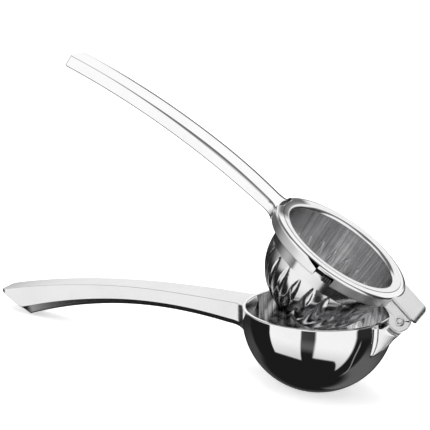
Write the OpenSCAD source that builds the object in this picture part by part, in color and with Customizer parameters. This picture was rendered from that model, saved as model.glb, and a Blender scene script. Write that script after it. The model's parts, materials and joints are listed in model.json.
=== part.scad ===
// Citrus press juicer: a deep lower bowl and a fluted press cup on two hinged arms.
//
// Working frame: the lower bowl's axis is Z, its rim lies in the plane z = 0, the hinge is
// towards +X and both handles reach towards -X. The upper arm is drawn closed, parallel to
// the rim. The part itself is then laid down as it stands on a worktop, on the bowl's rest
// flat and the lower handle's tip, with its origin in the middle of the hinge rivet.

/* [Lower bowl] */
// Outer radius of the bowl at its rim
bowl_r = 37.5; // [34:0.5:42]
// Thickness of the bowl's wall
bowl_wall = 2; // [1.2:0.1:2.6]
// Height of the straight part of the wall, above the round bottom
bowl_straight = 4.5; // [2:0.5:8]
// Radius of the small flat that the bowl rests on
rest_flat_r = 6; // [4:0.5:8]
// Diameter of one drain hole
drain_d = 2.6; // [1.5:0.1:3.2]
// Distance between the rings of drain holes
drain_pitch = 4.4; // [3.8:0.1:4.6]
// Number of rings of drain holes around the middle one
drain_rings = 2; // [1:1:2]

/* [Hinge] */
// Distance from the bowl's wall to the hinge axis
hinge_gap = 6.2; // [5.8:0.1:9]
// Height of the hinge axis above the bowl's rim
hinge_z = 2.3; // [1.5:0.1:3]
// Radius of the rivet's shank
rivet_r = 1.9; // [1.5:0.1:2.2]
// Radius of the hole through the rivet
rivet_bore_r = 1.2; // [0.8:0.1:1.3]
// Radius of the rivet's flared ends
rivet_head_r = 2.7; // [2.5:0.1:3.2]
// Length of the rivet's flared ends
rivet_head_h = 0.8; // [0.5:0.1:1]
// Radius of the round end of an ear
ear_r = 5.3; // [5:0.1:6]
// Thickness of an ear
ear_t = 2.4; // [1.8:0.1:2.6]
// Distance from the middle to an ear's outer face
ear_y = 13; // [12:0.5:15]
// Thickness of a friction washer
washer_t = 0.5; // [0.3:0.1:0.8]
// Radius of the knuckle around the rivet
knuckle_r = 3.5; // [3.2:0.1:3.6]
// Width of the lower bracket
bracket_w = 26; // [24:0.5:28]
// How far the bracket's foot reaches down the bowl, below the hinge axis
bracket_drop = 20; // [14:0.5:24]

/* [Ring] */
// How much smaller than the bowl's rim the ring is, on the radius
ring_inset = 0.1; // [0:0.1:1]
// How much the ring narrows to its lower edge, on the radius
ring_taper = 0.7; // [0:0.1:1.2]
// Width of the ring's top face
ring_rim_w = 3.7; // [3.4:0.1:4.5]
// Height of the ring's lower edge above the bowl's rim when closed
ring_gap = 3.3; // [2.8:0.1:5]
// Height of the ring's band
ring_h = 6.6; // [6:0.1:8]
// How far the ring's top face falls towards the cup
ring_dish = 0.6; // [0.3:0.1:1]
// Angle of the window in the ring's band for a grip tab
window_angle = 15; // [13:0.5:20]
// Direction of the window's middle, from the hinge side
window_dir = 83; // [80:1:90]

/* [Press cup] */
// Gap between the cup and the inside of the bowl when closed
squeeze_gap = 5.2; // [4.5:0.1:7]
// Thickness of the cup's wall
cup_wall = 1.6; // [1.2:0.1:2]
// Height of the cup's centre of curvature below the bowl's rim when closed
cup_drop = 4.2; // [3:0.1:6]
// How much wider than the round bottom the cup's neck is, on the radius
neck_step = 0.9; // [0.5:0.1:1.2]
// Number of flutes around the cup
flutes = 24; // [16:1:28]
// Depth of a flute
flute_depth = 0.9; // [0.5:0.1:1]
// Width of a grip tab, as an angle around the cup
tab_angle = 7; // [5:0.5:9]
// Number of ribs on a grip tab
tab_ribs = 4; // [3:1:5]

/* [Handles] */
// Distance from the bowl's axis to the end of the lower handle
lower_reach = 174; // [160:1:190]
// Distance from the bowl's axis to the end of the upper handle
upper_reach = 165.2; // [150:1:168]
// Width of the lower handle along its grip
lower_w = 14.4; // [12:0.2:18]
// Width of the lower handle where it meets the bowl
lower_root_w = 19; // [18:0.2:24]
// Width of the upper handle
upper_w = 15.2; // [12:0.2:18]
// Distance from the bowl's axis to the highest point of the handles' arches
crown_x = 80; // [70:1:90]
// Height of the lower handle's arch above the bowl's rim
lower_crown = 0.5; // [0:0.1:0.6]
// Height of the upper handle's arch above the bowl's rim when closed
upper_crown = 11.2; // [11:0.1:14]
// Height of the lower handle's side faces at the crown
lower_side_h = 6.4; // [6:0.1:8]
// Height of the upper handle's side faces at the crown
upper_side_h = 5.3; // [4:0.1:6]
// Depth and width of the chamfers along the handles' undersides
belly = 1.8; // [1.2:0.1:2.2]

/* [Tail plate] */
// How far the tail plate reaches past the hinge axis
tail_over = 7.1; // [5:0.1:9]
// Width of the tail plate
tail_w = 25.2; // [22:0.2:26]
// Thickness of the tail plate
tail_t = 1.5; // [1.2:0.1:1.6]
// Angle at which the tail plate droops
tail_droop = 10.5; // [8:0.5:12]

/* [Pose] */
// Angle of the upper arm above the closed position
open_angle = 32.8; // [0:0.1:75]

/* [Hidden] */
$fn = 96;
// Clearances: around the rivet, beside the knuckle, under the cup's lip, and between pieces
// that pass each other
pin_fit = 0.05;
side_fit = 0.12;
seat_fit = 0.1;
running_gap = 0.3;
// Radius along the top edges of the handles
edge_r = 0.5;
// Largest distance between two sections of a handle
handle_step = 2.5;
// How far into the bowl or ring a handle is drawn before it is trimmed
root_depth = 4;
// Where the lower handle starts to widen towards its root, and where it is widest
waist_x = [-110, -40];
// Length of the lower handle's slanting end, along its underside
tip_length = 17;
// Radii of the handles' arches: towards the grip and towards the root
lower_arch_r = [400, 850];
upper_arch_r = [480, 300];
lower_side_r = [265, 235];
upper_side_r = [490, 450];
lower_belly_r = 225;
lower_belly_h = belly + 1.05;
// Angle of the lower handle's end face above its underside, and radius of its corners
tip_cut = 32;
tip_corner_r = 3;
// Flare of a handle's root: its length and how much it widens on each side
root_flare = 5;
lower_flare_w = 3.5;
upper_flare_w = 5;
// Height of the ring's ledge under the cup's lip, and of the lip's crest above the ring
lip_h = 2;
lip_rise = 0.7;
lip_round = 1.6;
// How far inside the ring's outer wall the grip tabs end, and the radius of their ribs
tab_inset = 0.5;
rib_h = 0.5;
// The slit that runs from a window along the band: its angle and its depth
slit_angle = 15;
slit_depth = 2;
slit_h = 2.4;
slit_edge = 0.7;
// Room around the ears in the lower bracket
pocket_gap = 1.1;
// Metal under the pockets, and how far below the bowl's rim the bracket starts
heel_wall = 3.2;
rim_step = 1.6;
// Where the bracket's sides start to flare and where they end, inwards from the bowl's wall,
// and how much wider they get on each side
flare_run = [2.3, 5.9];
bracket_flare = 5;

// Derived sizes
hinge_x = bowl_r + hinge_gap;
ring_r = bowl_r - ring_inset;
ring_low_r = ring_r - ring_taper;
seat_r = ring_r - ring_rim_w;
lip_r = seat_r - running_gap;
cup_r = bowl_r - bowl_wall - squeeze_gap;
neck_r = cup_r + neck_step;
tab_out = ring_low_r - tab_inset - neck_r;
tail_reach = hinge_x + tail_over;
sphere_z = -bowl_straight;
ring_low_z = ring_gap;
ring_top_z = ring_gap + ring_h;
bore_r = neck_r + running_gap;
seat_top_z = ring_top_z - ring_dish;
ledge_z = seat_top_z - lip_h;
tab_h = ledge_z + seat_fit - ring_low_z - running_gap;
ear_in_y = ear_y - ear_t;
knuckle_y = ear_in_y - washer_t - 2 * side_fit;
tail_top_z = hinge_z + (ear_r + 0.2) / cos(tail_droop);

// The lower handle's underside, and the tilt at which the part lies on a worktop
function arch_z(x, top, r) = top + sqrt(r * r - pow(x + crown_x, 2)) - r;
function two_arch_z(x, top, r) = arch_z(x, top, x < -crown_x ? r[0] : r[1]);
function lower_top_z(x) = two_arch_z(x, lower_crown, lower_arch_r);
function lower_side_z(x) = two_arch_z(x, lower_crown - lower_side_h, lower_side_r);
function lower_belly_z(x) = min(lower_side_z(x) - belly / 2,
                                arch_z(x, lower_crown - lower_side_h - lower_belly_h, lower_belly_r));
function upper_top_z(x) = two_arch_z(x, upper_crown, upper_arch_r);
function upper_side_z(x) = two_arch_z(x, upper_crown - upper_side_h, upper_side_r);
function upper_belly_z(x) = upper_side_z(x) - belly * 0.8;

heel_x = -(lower_reach - tip_length);
heel_z = lower_belly_z(heel_x);
rest_drop = sqrt(bowl_r * bowl_r - rest_flat_r * rest_flat_r);
heel_angle = atan2(sphere_z - heel_z, -heel_x);
rest_tilt = heel_angle - asin(rest_drop / norm([heel_x, heel_z - sphere_z]));

// Places a closed-position piece of each body in the finished part
module lower_arm_place() {
    rotate([0, rest_tilt, 0]) translate([-hinge_x, 0, -hinge_z]) children();
}

module upper_arm_place() {
    rotate([0, rest_tilt + open_angle, 0]) translate([-hinge_x, 0, -hinge_z]) children();
}

// A ring-shaped piece between two angles, from a section in the X-Z plane
module sector(from, to) {
    rotate([0, 0, from]) rotate_extrude(angle = to - from) children();
}

module both_sides() {
    for (s = [-1, 1]) scale_side(s) children();
}

module scale_side(s) {
    if (s > 0) mirror([0, 1, 0]) children();
    else children();
}

// A rod along Y through the hinge axis
module hinge_rod(r, y0, y1) {
    translate([hinge_x, y0, hinge_z]) rotate([-90, 0, 0]) cylinder(r = r, h = y1 - y0);
}

// A flat plate with its outline in the X-Z plane, between two Y positions
module side_plate(y0, y1) {
    translate([0, y1, 0]) rotate([90, 0, 0]) linear_extrude(y1 - y0) children();
}

// Handles ------------------------------------------------------------------------------------

// One section of a handle: a flat top with small bevels, upright sides and a chamfered belly
function handle_section(x, w, top, side, low) =
    [[x, -w + edge_r, top], [x, w - edge_r, top], [x, w, top - edge_r], [x, w, side],
     [x, w - belly, low], [x, -w + belly, low], [x, -w, side], [x, -w, top - edge_r]];

// Closed skin over a list of sections that all have the same number of points
module loft(sections) {
    n = len(sections[0]);
    m = len(sections);
    points = [for (s = sections) each s];
    skin = [for (i = [0:m - 2], j = [0:n - 1]) let(k = (j + 1) % n)
            each [[i * n + j, i * n + k, (i + 1) * n + k], [i * n + j, (i + 1) * n + k, (i + 1) * n + j]]];
    first = [[for (j = [n - 1:-1:0]) j]];
    last = [[for (j = [0:n - 1]) (m - 1) * n + j]];
    polyhedron(points, concat(skin, first, last));
}

// Positions from the root to the end of a handle, closer together where its width changes
function handle_stations(root, end) =
    concat([for (i = [0:8]) root - root_flare * i / 8],
           [for (i = [1:ceil((end - root) / -handle_step) - 4]) root - root_flare - i * handle_step],
           [for (a = [0:15:90]) end + tip_corner_r * (1 - sin(a))]);

// Extra half width of a root at a distance d from the ring or bowl: a quarter of a circle
function flare(d, w) = d >= root_flare ? 0 : w * (1 - sqrt(1 - pow(1 - max(0, d) / root_flare, 2)));

// Loss of half width at a distance d from the end: a rounded corner
function corner(d) = d >= tip_corner_r ? 0 : tip_corner_r - sqrt(pow(tip_corner_r, 2) - pow(tip_corner_r - d, 2));

function blend(x, x0, x1) = let(t = max(0, min(1, (x - x0) / (x1 - x0)))) t * t * (3 - 2 * t);

function lower_half_w(x) = lower_w / 2 + (lower_root_w - lower_w) / 2 * blend(x, waist_x[0], waist_x[1]);

module lower_handle() {
    root = -bowl_r + root_depth;
    color("silver") lower_arm_place() difference() {
        loft([for (x = handle_stations(root, -lower_reach))
              handle_section(x, lower_half_w(x) + flare(-bowl_r + root_depth - 1 - x, lower_flare_w)
                                - corner(x + lower_reach),
                             lower_top_z(x), lower_side_z(x), lower_belly_z(x))]);
        bowl_solid(0);
        // The slanting end face
        translate([heel_x, 0, heel_z]) rotate([0, tip_cut, 0])
            translate([-3 * tip_length, -lower_root_w, -2 * tip_length])
                cube([3 * tip_length, 2 * lower_root_w, 2 * tip_length]);
    }
}

module upper_handle() {
    root = -ring_low_r + root_depth;
    color("whitesmoke") upper_arm_place() difference() {
        loft([for (x = handle_stations(root, -upper_reach))
              handle_section(x, upper_w / 2 + flare(-ring_r + root_depth / 2 - x, upper_flare_w)
                                - corner(x + upper_reach) / 2,
                             upper_top_z(x), upper_side_z(x), upper_belly_z(x))]);
        ring_outside();
    }
}

// Lower bowl ---------------------------------------------------------------------------------

// The outside of the bowl, smaller by an inset, as a closed solid under the rim plane
module bowl_solid(inset) {
    rotate_extrude() intersection() {
        union() {
            translate([0, sphere_z]) circle(r = bowl_r - inset);
            translate([0, sphere_z]) square([bowl_r - inset, 2 * bowl_r]);
        }
        translate([0, -2 * bowl_r]) square([bowl_r, 2 * bowl_r + (inset > 0 ? 1 : 0)]);
    }
}

module drain_holes() {
    translate([0, 0, sphere_z - bowl_r - 1]) {
        cylinder(d = drain_d, h = bowl_r);
        for (ring = [1:drain_rings], i = [0:6 * ring - 1])
            rotate([0, 0, 30 + 60 / ring * i]) translate([ring * drain_pitch, 0, 0])
                cylinder(d = drain_d, h = bowl_r);
    }
}

module lower_bowl() {
    color("dimgray") lower_arm_place() difference() {
        bowl_solid(0);
        bowl_solid(bowl_wall);
        drain_holes();
        // The flat that the bowl rests on, level with the worktop
        translate([0, 0, sphere_z]) rotate([0, -rest_tilt, 0])
            translate([0, 0, -rest_drop - 10]) cylinder(r = 3 * rest_flat_r, h = 10);
    }
}

// Lower half of the hinge --------------------------------------------------------------------

// Side view, from the hinge axis: a heel under the hinge, a straight underside down to the
// bowl, and a top edge just under the bowl's rim
module bracket_outline() {
    back = -hinge_x + bowl_r / 2;
    top = -hinge_z - rim_step;
    heel = ear_r + pocket_gap + heel_wall;
    polygon([[back, top], [back, -bracket_drop - hinge_gap], [-2 * hinge_gap, -bracket_drop], [-0.5, -heel],
             [1.6, -heel + 2.1], [knuckle_r - 0.5, -heel / 2], [knuckle_r, -1.2], [0, knuckle_r * 0.8],
             [-2.4, 2.4], [-hinge_gap + 1.1, top + 1.4], [-hinge_gap + 0.3, top]]);
}

// Plan view, from the hinge axis: upright sides that flare out where they meet the bowl
module bracket_plan() {
    w = bracket_w / 2;
    far = hinge_x - bowl_r / 2;
    near = 2 * ear_r;
    start = -hinge_gap - flare_run[0];
    end = -hinge_gap - flare_run[1];
    polygon([[near, -w], [start, -w], [end, -w - bracket_flare], [-far, -w - bracket_flare],
             [-far, w + bracket_flare], [end, w + bracket_flare], [start, w], [near, w]]);
}

module hinge_bracket() {
    w = bracket_w / 2;
    color("gainsboro") lower_arm_place() difference() {
        union() {
            intersection() {
                side_plate(-w - bracket_flare, w + bracket_flare)
                    translate([hinge_x, hinge_z]) bracket_outline();
                translate([hinge_x, 0, -bowl_r]) linear_extrude(2 * bowl_r) bracket_plan();
            }
            hinge_rod(knuckle_r, -knuckle_y, knuckle_y);
        }
        bowl_solid(0);
        // Pockets for the two ears
        both_sides() {
            hinge_rod(ear_r + pocket_gap, -w - 1, -knuckle_y);
            translate([hinge_x, -w - 1, hinge_z - ear_r - pocket_gap])
                cube([3 * ear_r, w + 1 - knuckle_y, 3 * ear_r]);
        }
        hinge_rod(rivet_r + pin_fit, -w - 1, w + 1);
    }
}

// Upper half of the hinge --------------------------------------------------------------------

module tail_outline() {
    rise = 30 * sin(tail_droop);
    run = 30 * cos(tail_droop);
    translate([hinge_x, tail_top_z]) polygon([[-run, rise], [-run, rise - tail_t], [run, -rise - tail_t], [run, -rise]]);
}

// The plate, from the cup's lip to its gently rounded end
module tail_solid() {
    end_r = 60;
    intersection() {
        side_plate(-tail_w / 2, tail_w / 2) tail_outline();
        translate([tail_reach - end_r, 0, -10]) cylinder(r = end_r, h = 40);
        translate([0, -tail_w, -10]) cube([80, 2 * tail_w, 40]);
    }
}

module tail_plate() {
    color("lightgray") upper_arm_place() difference() {
        tail_solid();
        ring_outside();
    }
}

// One ear: a round end on a web that reaches up to the plate and back to the ring
module ear_solid() {
    difference() {
        union() {
            hinge_rod(ear_r, -ear_y, -ear_in_y);
            side_plate(-ear_y, -ear_in_y) translate([hinge_x, hinge_z])
                polygon([[-ear_r * 0.8, -ear_r * 0.35], [-ear_r - 1, 0], [-2 * hinge_gap, 0.6],
                         [-2 * hinge_gap, 2 * ear_r], [ear_r * 0.8, 2 * ear_r], [ear_r * 0.8, 0]]);
        }
        // Under the plate and outside the ring
        side_plate(-ear_y - 1, 0) translate([hinge_x, tail_top_z]) rotate(-tail_droop)
            translate([-40, -tail_t]) square([80, 20]);
        ring_outside();
        hinge_rod(rivet_r, -ear_y - 1, 0);
        rivet_flare(0);
    }
}

// The flared end of the rivet on the near side
module rivet_flare(inset) {
    translate([hinge_x, -ear_y, hinge_z]) rotate([-90, 0, 0])
        cylinder(r1 = rivet_head_r - inset, r2 = rivet_r - inset, h = rivet_head_h);
}

module ear_near() {
    color("gainsboro") upper_arm_place() ear_solid();
}

module ear_far() {
    color("gainsboro") upper_arm_place() mirror([0, 1, 0]) ear_solid();
}

module hinge_rivet() {
    mouth = 0.5;
    color("silver") upper_arm_place() difference() {
        union() {
            hinge_rod(rivet_r, -ear_y, ear_y);
            both_sides() rivet_flare(0);
        }
        hinge_rod(rivet_bore_r, -ear_y - 1, ear_y + 1);
        both_sides() translate([hinge_x, -ear_y, hinge_z]) rotate([-90, 0, 0])
            cylinder(r1 = rivet_bore_r + mouth, r2 = rivet_bore_r, h = mouth);
    }
}

module washer() {
    difference() {
        hinge_rod(knuckle_r, -ear_in_y + side_fit, -ear_in_y + side_fit + washer_t);
        hinge_rod(rivet_r + pin_fit, -ear_y, 0);
    }
}

module washer_near() {
    color("darkgray") upper_arm_place() washer();
}

module washer_far() {
    color("darkgray") upper_arm_place() mirror([0, 1, 0]) washer();
}

// Ring ---------------------------------------------------------------------------------------

// The ring's outer wall as a solid, which trims what is joined to it
module ring_outside() {
    rotate_extrude() polygon([[0, -30], [ring_low_r, -30], [ring_low_r, ring_low_z],
                              [ring_r, ring_top_z - 0.5], [ring_r, 40], [0, 40]]);
}

module ring_section() {
    polygon([[ring_low_r, ring_low_z], [ring_r, ring_top_z - 0.5], [ring_r - 0.5, ring_top_z],
             [seat_r, seat_top_z], [seat_r, ledge_z], [bore_r, ledge_z], [bore_r, ring_low_z]]);
}

// A window through the band, open at the lower edge
module window() {
    half = window_angle / 2;
    sector(-window_dir - half, -window_dir + half)
        translate([bore_r - 1, ring_low_z - 1]) square([10, tab_h + 2 * running_gap + 1]);
}

// A shallow slit under the band's top edge, which narrows away from the window
module slit() {
    half = ring_r * sin(slit_angle / 2);
    slit_top = ring_top_z - slit_edge;
    rotate([0, 0, -window_dir - (window_angle + slit_angle) / 2]) translate([ring_low_r - slit_depth, 0, 0])
        rotate([90, 0, 90]) linear_extrude(5)
            polygon([[-half, slit_top], [half + 0.5, slit_top], [half + 0.5, slit_top - slit_h]]);
}

// The tail plate's top face carried on across the ring's edge
module tail_facet() {
    length = hinge_x - seat_r + 1;
    translate([hinge_x, -tail_w / 2, tail_top_z]) rotate([0, tail_droop, 0])
        translate([-length, 0, 0]) cube([length, tail_w, 10]);
}

module press_ring() {
    color("white") upper_arm_place() difference() {
        rotate_extrude() ring_section();
        for (turn = [0, 180]) rotate([0, 0, turn]) {
            window();
            slit();
        }
        tail_facet();
    }
}

// Press cup ----------------------------------------------------------------------------------

cup_z = -cup_drop;

// The cup's upright part: half of the section of its neck and rolled lip
module neck_section() {
    inner = neck_r - cup_wall;
    low = ledge_z + seat_fit;
    top = ledge_z + lip_h + lip_rise;
    polygon([[cup_r - cup_wall - 0.35, cup_z - 1], [cup_r, cup_z], [neck_r, cup_z + 6], [neck_r, low],
             [lip_r, low], [lip_r, top - lip_round], [lip_r - lip_round * 0.3, top - lip_round * 0.3],
             [lip_r - lip_round, top], [inner + 1.4, top], [inner + 0.3, low], [inner, ring_low_z]]);
}

// Depth of the flutes at an angle around the cup and an angle below its middle: pointed
// grooves with a round section, which run out above, at the start of the round bottom
function flute(a, low) =
    let(turn = a * flutes / 360 + 0.5, across = abs(2 * (turn - round(turn))),
        half = 0.85 * sqrt(max(0, min(1, low / 25))))
    across >= half ? 0 : flute_depth * min(1, low / 15) * min(1, (90 - low) / 12)
                         * sqrt(1 - pow(across / half, 2));

// The fluted outside of the round bottom, closed by a flat face just above the start of the neck
module fluted_bottom() {
    around = flutes * 4;
    lows = [0, 3, 8, 15, 24, 34, 45, 56, 67, 77, 84];
    rings = concat([[for (i = [0:around - 1]) let(a = i * 360 / around)
                     [(cup_r - 0.4) * cos(a), (cup_r - 0.4) * sin(a), cup_z + 1]]],
                   [for (low = lows) [for (i = [0:around - 1])
                     let(a = i * 360 / around, r = cup_r - flute(a, low) - (low == 0 ? 0.2 : 0))
                     [r * cos(low) * cos(a), r * cos(low) * sin(a), cup_z - r * sin(low)]]]);
    loft(rings);
}

module press_cup() {
    color("lightsteelblue") upper_arm_place() difference() {
        union() {
            rotate_extrude() neck_section();
            fluted_bottom();
        }
        translate([0, 0, cup_z]) sphere(r = cup_r - cup_wall);
    }
}

// A ribbed grip tab on the cup's neck, in its window
module tab_solid() {
    z0 = ring_low_z + running_gap;
    travel_side = window_dir - window_angle / 2 + running_gap / bore_r * 180 / PI;
    sector(-travel_side - tab_angle, -travel_side) translate([neck_r, z0]) square([tab_out - rib_h, tab_h]);
    for (i = [0:tab_ribs - 1])
        rotate([0, 0, -travel_side - tab_angle * (i + 0.5) / tab_ribs])
            translate([neck_r + tab_out - rib_h, 0, z0]) cylinder(r = rib_h, h = tab_h, $fn = 24);
}

module cup_tab_near() {
    color("gray") upper_arm_place() tab_solid();
}

module cup_tab_far() {
    color("gray") upper_arm_place() rotate([0, 0, 180]) tab_solid();
}

lower_bowl();
lower_handle();
hinge_bracket();
press_ring();
upper_handle();
tail_plate();
ear_near();
ear_far();
hinge_rivet();
washer_near();
washer_far();
press_cup();
cup_tab_near();
cup_tab_far();
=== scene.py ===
"""Dresses a citrus press juicer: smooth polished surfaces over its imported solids, and a pale studio.

Every shape is worked out in the press's closed position, where the bowl's axis is Z, its rim
lies in the plane z = 0 and the handles reach towards -X. lower_place and upper_place then put
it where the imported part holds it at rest.
"""
import json
import math

import bmesh
import bpy
import numpy as np
from bpy.props import FloatProperty, FloatVectorProperty, IntProperty, PointerProperty
from mathutils import Matrix, Vector


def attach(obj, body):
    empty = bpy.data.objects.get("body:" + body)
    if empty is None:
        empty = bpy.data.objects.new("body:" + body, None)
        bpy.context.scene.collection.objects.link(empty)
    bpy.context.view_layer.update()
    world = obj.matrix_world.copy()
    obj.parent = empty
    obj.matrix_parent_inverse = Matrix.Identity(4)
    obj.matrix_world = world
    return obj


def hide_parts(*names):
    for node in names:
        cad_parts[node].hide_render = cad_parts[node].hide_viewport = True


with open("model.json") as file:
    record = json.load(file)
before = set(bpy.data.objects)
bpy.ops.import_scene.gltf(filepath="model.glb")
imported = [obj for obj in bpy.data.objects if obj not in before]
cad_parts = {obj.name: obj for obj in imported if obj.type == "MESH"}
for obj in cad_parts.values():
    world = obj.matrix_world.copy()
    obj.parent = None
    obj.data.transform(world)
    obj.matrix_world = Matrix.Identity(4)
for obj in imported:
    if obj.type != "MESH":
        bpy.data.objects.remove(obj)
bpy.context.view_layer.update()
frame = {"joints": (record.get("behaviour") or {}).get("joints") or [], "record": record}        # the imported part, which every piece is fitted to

bl_info = {
    "name": "Citrus Press Juicer",
    "version": (1, 0, 0),
    "blender": (4, 5, 0),
    "location": "View3D > Sidebar > Citrus Press",
    "description": "Builds a polished citrus press around its packed frame, with a pale studio",
    "category": "Add Mesh",
}

MM = 0.001
# Points closer than this many metres are merged
WELD_GAP = 1e-7
RECORD = frame["record"]
JOINTS = {joint["name"]: joint for joint in frame["joints"]}
MOUNTS = {mount["name"]: mount for mount in RECORD["mounts"]}


# Sizes and colours that a user would change ----------------------------------------------------

def length(name, text, size_mm):
    """A size in metres, from a default in millimetres."""
    return FloatProperty(name=name, description=text, default=size_mm * MM, precision=5, unit="LENGTH")


def angle(name, text, degrees):
    """An angle, from a default in degrees."""
    return FloatProperty(name=name, description=text, default=math.radians(degrees), unit="ROTATION")


def amount(name, text, value):
    """A plain share or strength."""
    return FloatProperty(name=name, description=text, default=value, min=0.0)


def count(name, text, value):
    """A whole number of copies."""
    return IntProperty(name=name, description=text, default=value, min=3)


def colour(name, text, value):
    """A colour, as linear red, green and blue."""
    return FloatVectorProperty(name=name, description=text, default=value, subtype="COLOR", min=0.0, max=1.0)


class BowlSizes(bpy.types.PropertyGroup):
    rim_r: length("Rim radius", "Outer radius of the bowl at its rim", 37.5)
    wall: length("Wall", "Thickness of the bowl's wall", 2.0)
    straight: length("Straight wall", "Height of the upright wall above the round bottom", 4.5)
    flat_r: length("Rest flat", "Radius of the flat that the bowl rests on", 6.0)
    drain_r: length("Drain radius", "Radius of one drain hole", 1.3)
    drain_pitch: length("Drain pitch", "Distance between the rings of drain holes", 4.4)


class HingeSizes(bpy.types.PropertyGroup):
    axis_x: length("Hinge distance", "Distance from the bowl's axis to the hinge axis", 43.7)
    axis_z: length("Hinge height", "Height of the hinge axis above the bowl's rim", 2.3)
    ear_r: length("Ear radius", "Radius of an ear's round end", 5.3)
    ear_t: length("Ear thickness", "Thickness of an ear", 2.4)
    ear_y: length("Ear position", "Distance from the middle to an ear's outer face", 13.0)
    gusset_w: length("Gusset width", "Width of the gusset under the hinge", 34.0)
    fillet: length("Fillet", "Radius of the concave arcs between the gusset's sides and the bowl", 3.0)
    knuckle_r: length("Knuckle radius", "Radius of the knuckle around the rivet", 3.5)
    knuckle_y: length("Knuckle half width", "Half the width of the knuckle", 9.86)
    pocket_r: length("Pocket radius", "Radius of the room around an ear in the bracket", 6.4)
    rivet_r: length("Rivet radius", "Radius of the rivet's shank", 1.9)
    bore_r: length("Rivet bore", "Radius of the hole through the rivet", 1.2)
    head_r: length("Rivet head radius", "Radius of the rivet's rolled ends", 2.7)
    tail_w: length("Tail width", "Width of the tail plate", 25.2)
    tail_t: length("Tail thickness", "Thickness of the tail plate", 1.5)
    tail_over: length("Tail reach", "How far the tail plate reaches past the hinge axis", 7.1)
    tail_droop: angle("Tail droop", "Angle at which the tail plate droops", 10.5)


class RingSizes(bpy.types.PropertyGroup):
    top_r: length("Top radius", "Outer radius of the ring at its top", 37.4)
    low_r: length("Lower radius", "Outer radius of the ring at its lower edge", 36.7)
    low_z: length("Lower edge", "Height of the ring's lower edge above the bowl's rim", 3.3)
    top_z: length("Top", "Height of the ring's outer top edge above the bowl's rim", 9.9)
    dish: length("Dish", "How far the top face falls towards the cup", 0.6)
    shoulder: length("Shoulder", "Radius of the outer top edge", 1.9)
    skirt_rough: amount("Skirt roughness", "Roughness of the band's outer wall", 0.30)
    seat_r: length("Seat radius", "Radius of the recess for the cup's lip", 33.7)
    bore_r: length("Bore radius", "Radius of the bore for the cup's neck", 31.5)
    ledge: length("Ledge depth", "Depth of the recess for the cup's lip", 2.0)
    window_dir: angle("Window direction", "Direction of a window's middle, from the hinge side", 83.0)
    window_span: angle("Window span", "Angle of a window around the ring", 15.0)
    slit_span: angle("Slit span", "Angle of the slit that runs from a window", 11.0)


class CupSizes(bpy.types.PropertyGroup):
    radius: length("Radius", "Outer radius of the cup's round bottom", 30.3)
    wall: length("Wall", "Thickness of the cup's wall", 1.6)
    neck_wall: length("Neck wall", "Thickness of the neck's wall", 2.1)
    centre_z: length("Centre", "Height of the round bottom's centre above the bowl's rim", -4.2)
    neck_r: length("Neck radius", "Outer radius of the neck inside the ring", 31.2)
    lip_r: length("Lip radius", "Outer radius of the rolled lip", 33.6)
    lip_top: length("Lip top", "Height of the lip's crest above the bowl's rim", 10.0)
    flutes: count("Flutes", "Number of flutes around the cup", 24)
    flute_depth: length("Flute depth", "Depth of a flute", 0.85)
    flute_w: length("Flute width", "Width of a flute below its tip", 4.2)


class HandleSizes(bpy.types.PropertyGroup):
    lower_reach: length("Lower reach", "Distance from the bowl's axis to the lower handle's end", 174.0)
    upper_reach: length("Upper reach", "Distance from the bowl's axis to the upper handle's end", 165.2)
    lower_w: length("Lower width", "Width of the lower handle along its grip", 14.4)
    lower_root_w: length("Lower root width", "Width of the lower handle at the bowl", 19.0)
    upper_w: length("Upper width", "Width of the upper handle", 15.2)
    crown_x: length("Crown", "Distance from the bowl's axis to the arches' highest point", 80.0)
    lower_crown: length("Lower crown", "Height of the lower handle's arch", 0.5)
    upper_crown: length("Upper crown", "Height of the upper handle's arch", 11.2)
    lower_side_h: length("Lower side height", "Height of the lower handle's side faces", 6.4)
    lower_belly: length("Lower belly", "Height of the chamfers along the lower handle's underside", 2.85)
    lower_chamfer: length("Lower chamfer", "Width of the chamfers along the lower handle's underside", 1.6)
    upper_side_h: length("Upper side height", "Height of the upper handle's side faces", 6.0)
    belly: length("Belly", "Width of the chamfers along the upper handle's underside", 0.9)
    edge_r: length("Edge radius", "Radius along the upper handle's top edges at its end", 0.6)
    shoulder: length("Shoulder", "Radius of the upper handle's soft shoulders at the ring", 15.0)
    flank: length("Flank", "Radius between the shoulders and the sides at the ring", 3.8)
    tip_length: length("Tip length", "Length of the lower handle's slanting end", 17.0)
    tip_cut: angle("Tip angle", "Angle of the lower handle's slanting end", 32.0)


class FinishColours(bpy.types.PropertyGroup):
    bowl: colour("Bowl", "Mirror polish of the bowl", (0.90, 0.90, 0.905))
    cup: colour("Cup", "Mirror polish of the press cup", (0.86, 0.86, 0.865))
    ring: colour("Ring", "Mirror polish of the ring, ears and tail plate", (0.92, 0.92, 0.922))
    handle: colour("Upper handle", "Mirror polish of the upper handle", (0.97, 0.97, 0.972))
    satin: colour("Lower handle", "Satin polish of the lower handle", (0.85, 0.85, 0.852))
    plate: colour("Plates", "Satin polish of the ears and the tail plate", (0.80, 0.80, 0.805))
    hardware: colour("Hardware", "Satin steel of the rivet and washers", (0.70, 0.70, 0.71))
    # The tabs are dark steel, coloured darker still as painted shade for the shade in their windows.
    tab: colour("Tabs", "Darkened steel of the grip tabs", (0.10, 0.10, 0.102))
    floor: colour("Floor", "The pale floor", (0.92, 0.92, 0.92))


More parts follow.
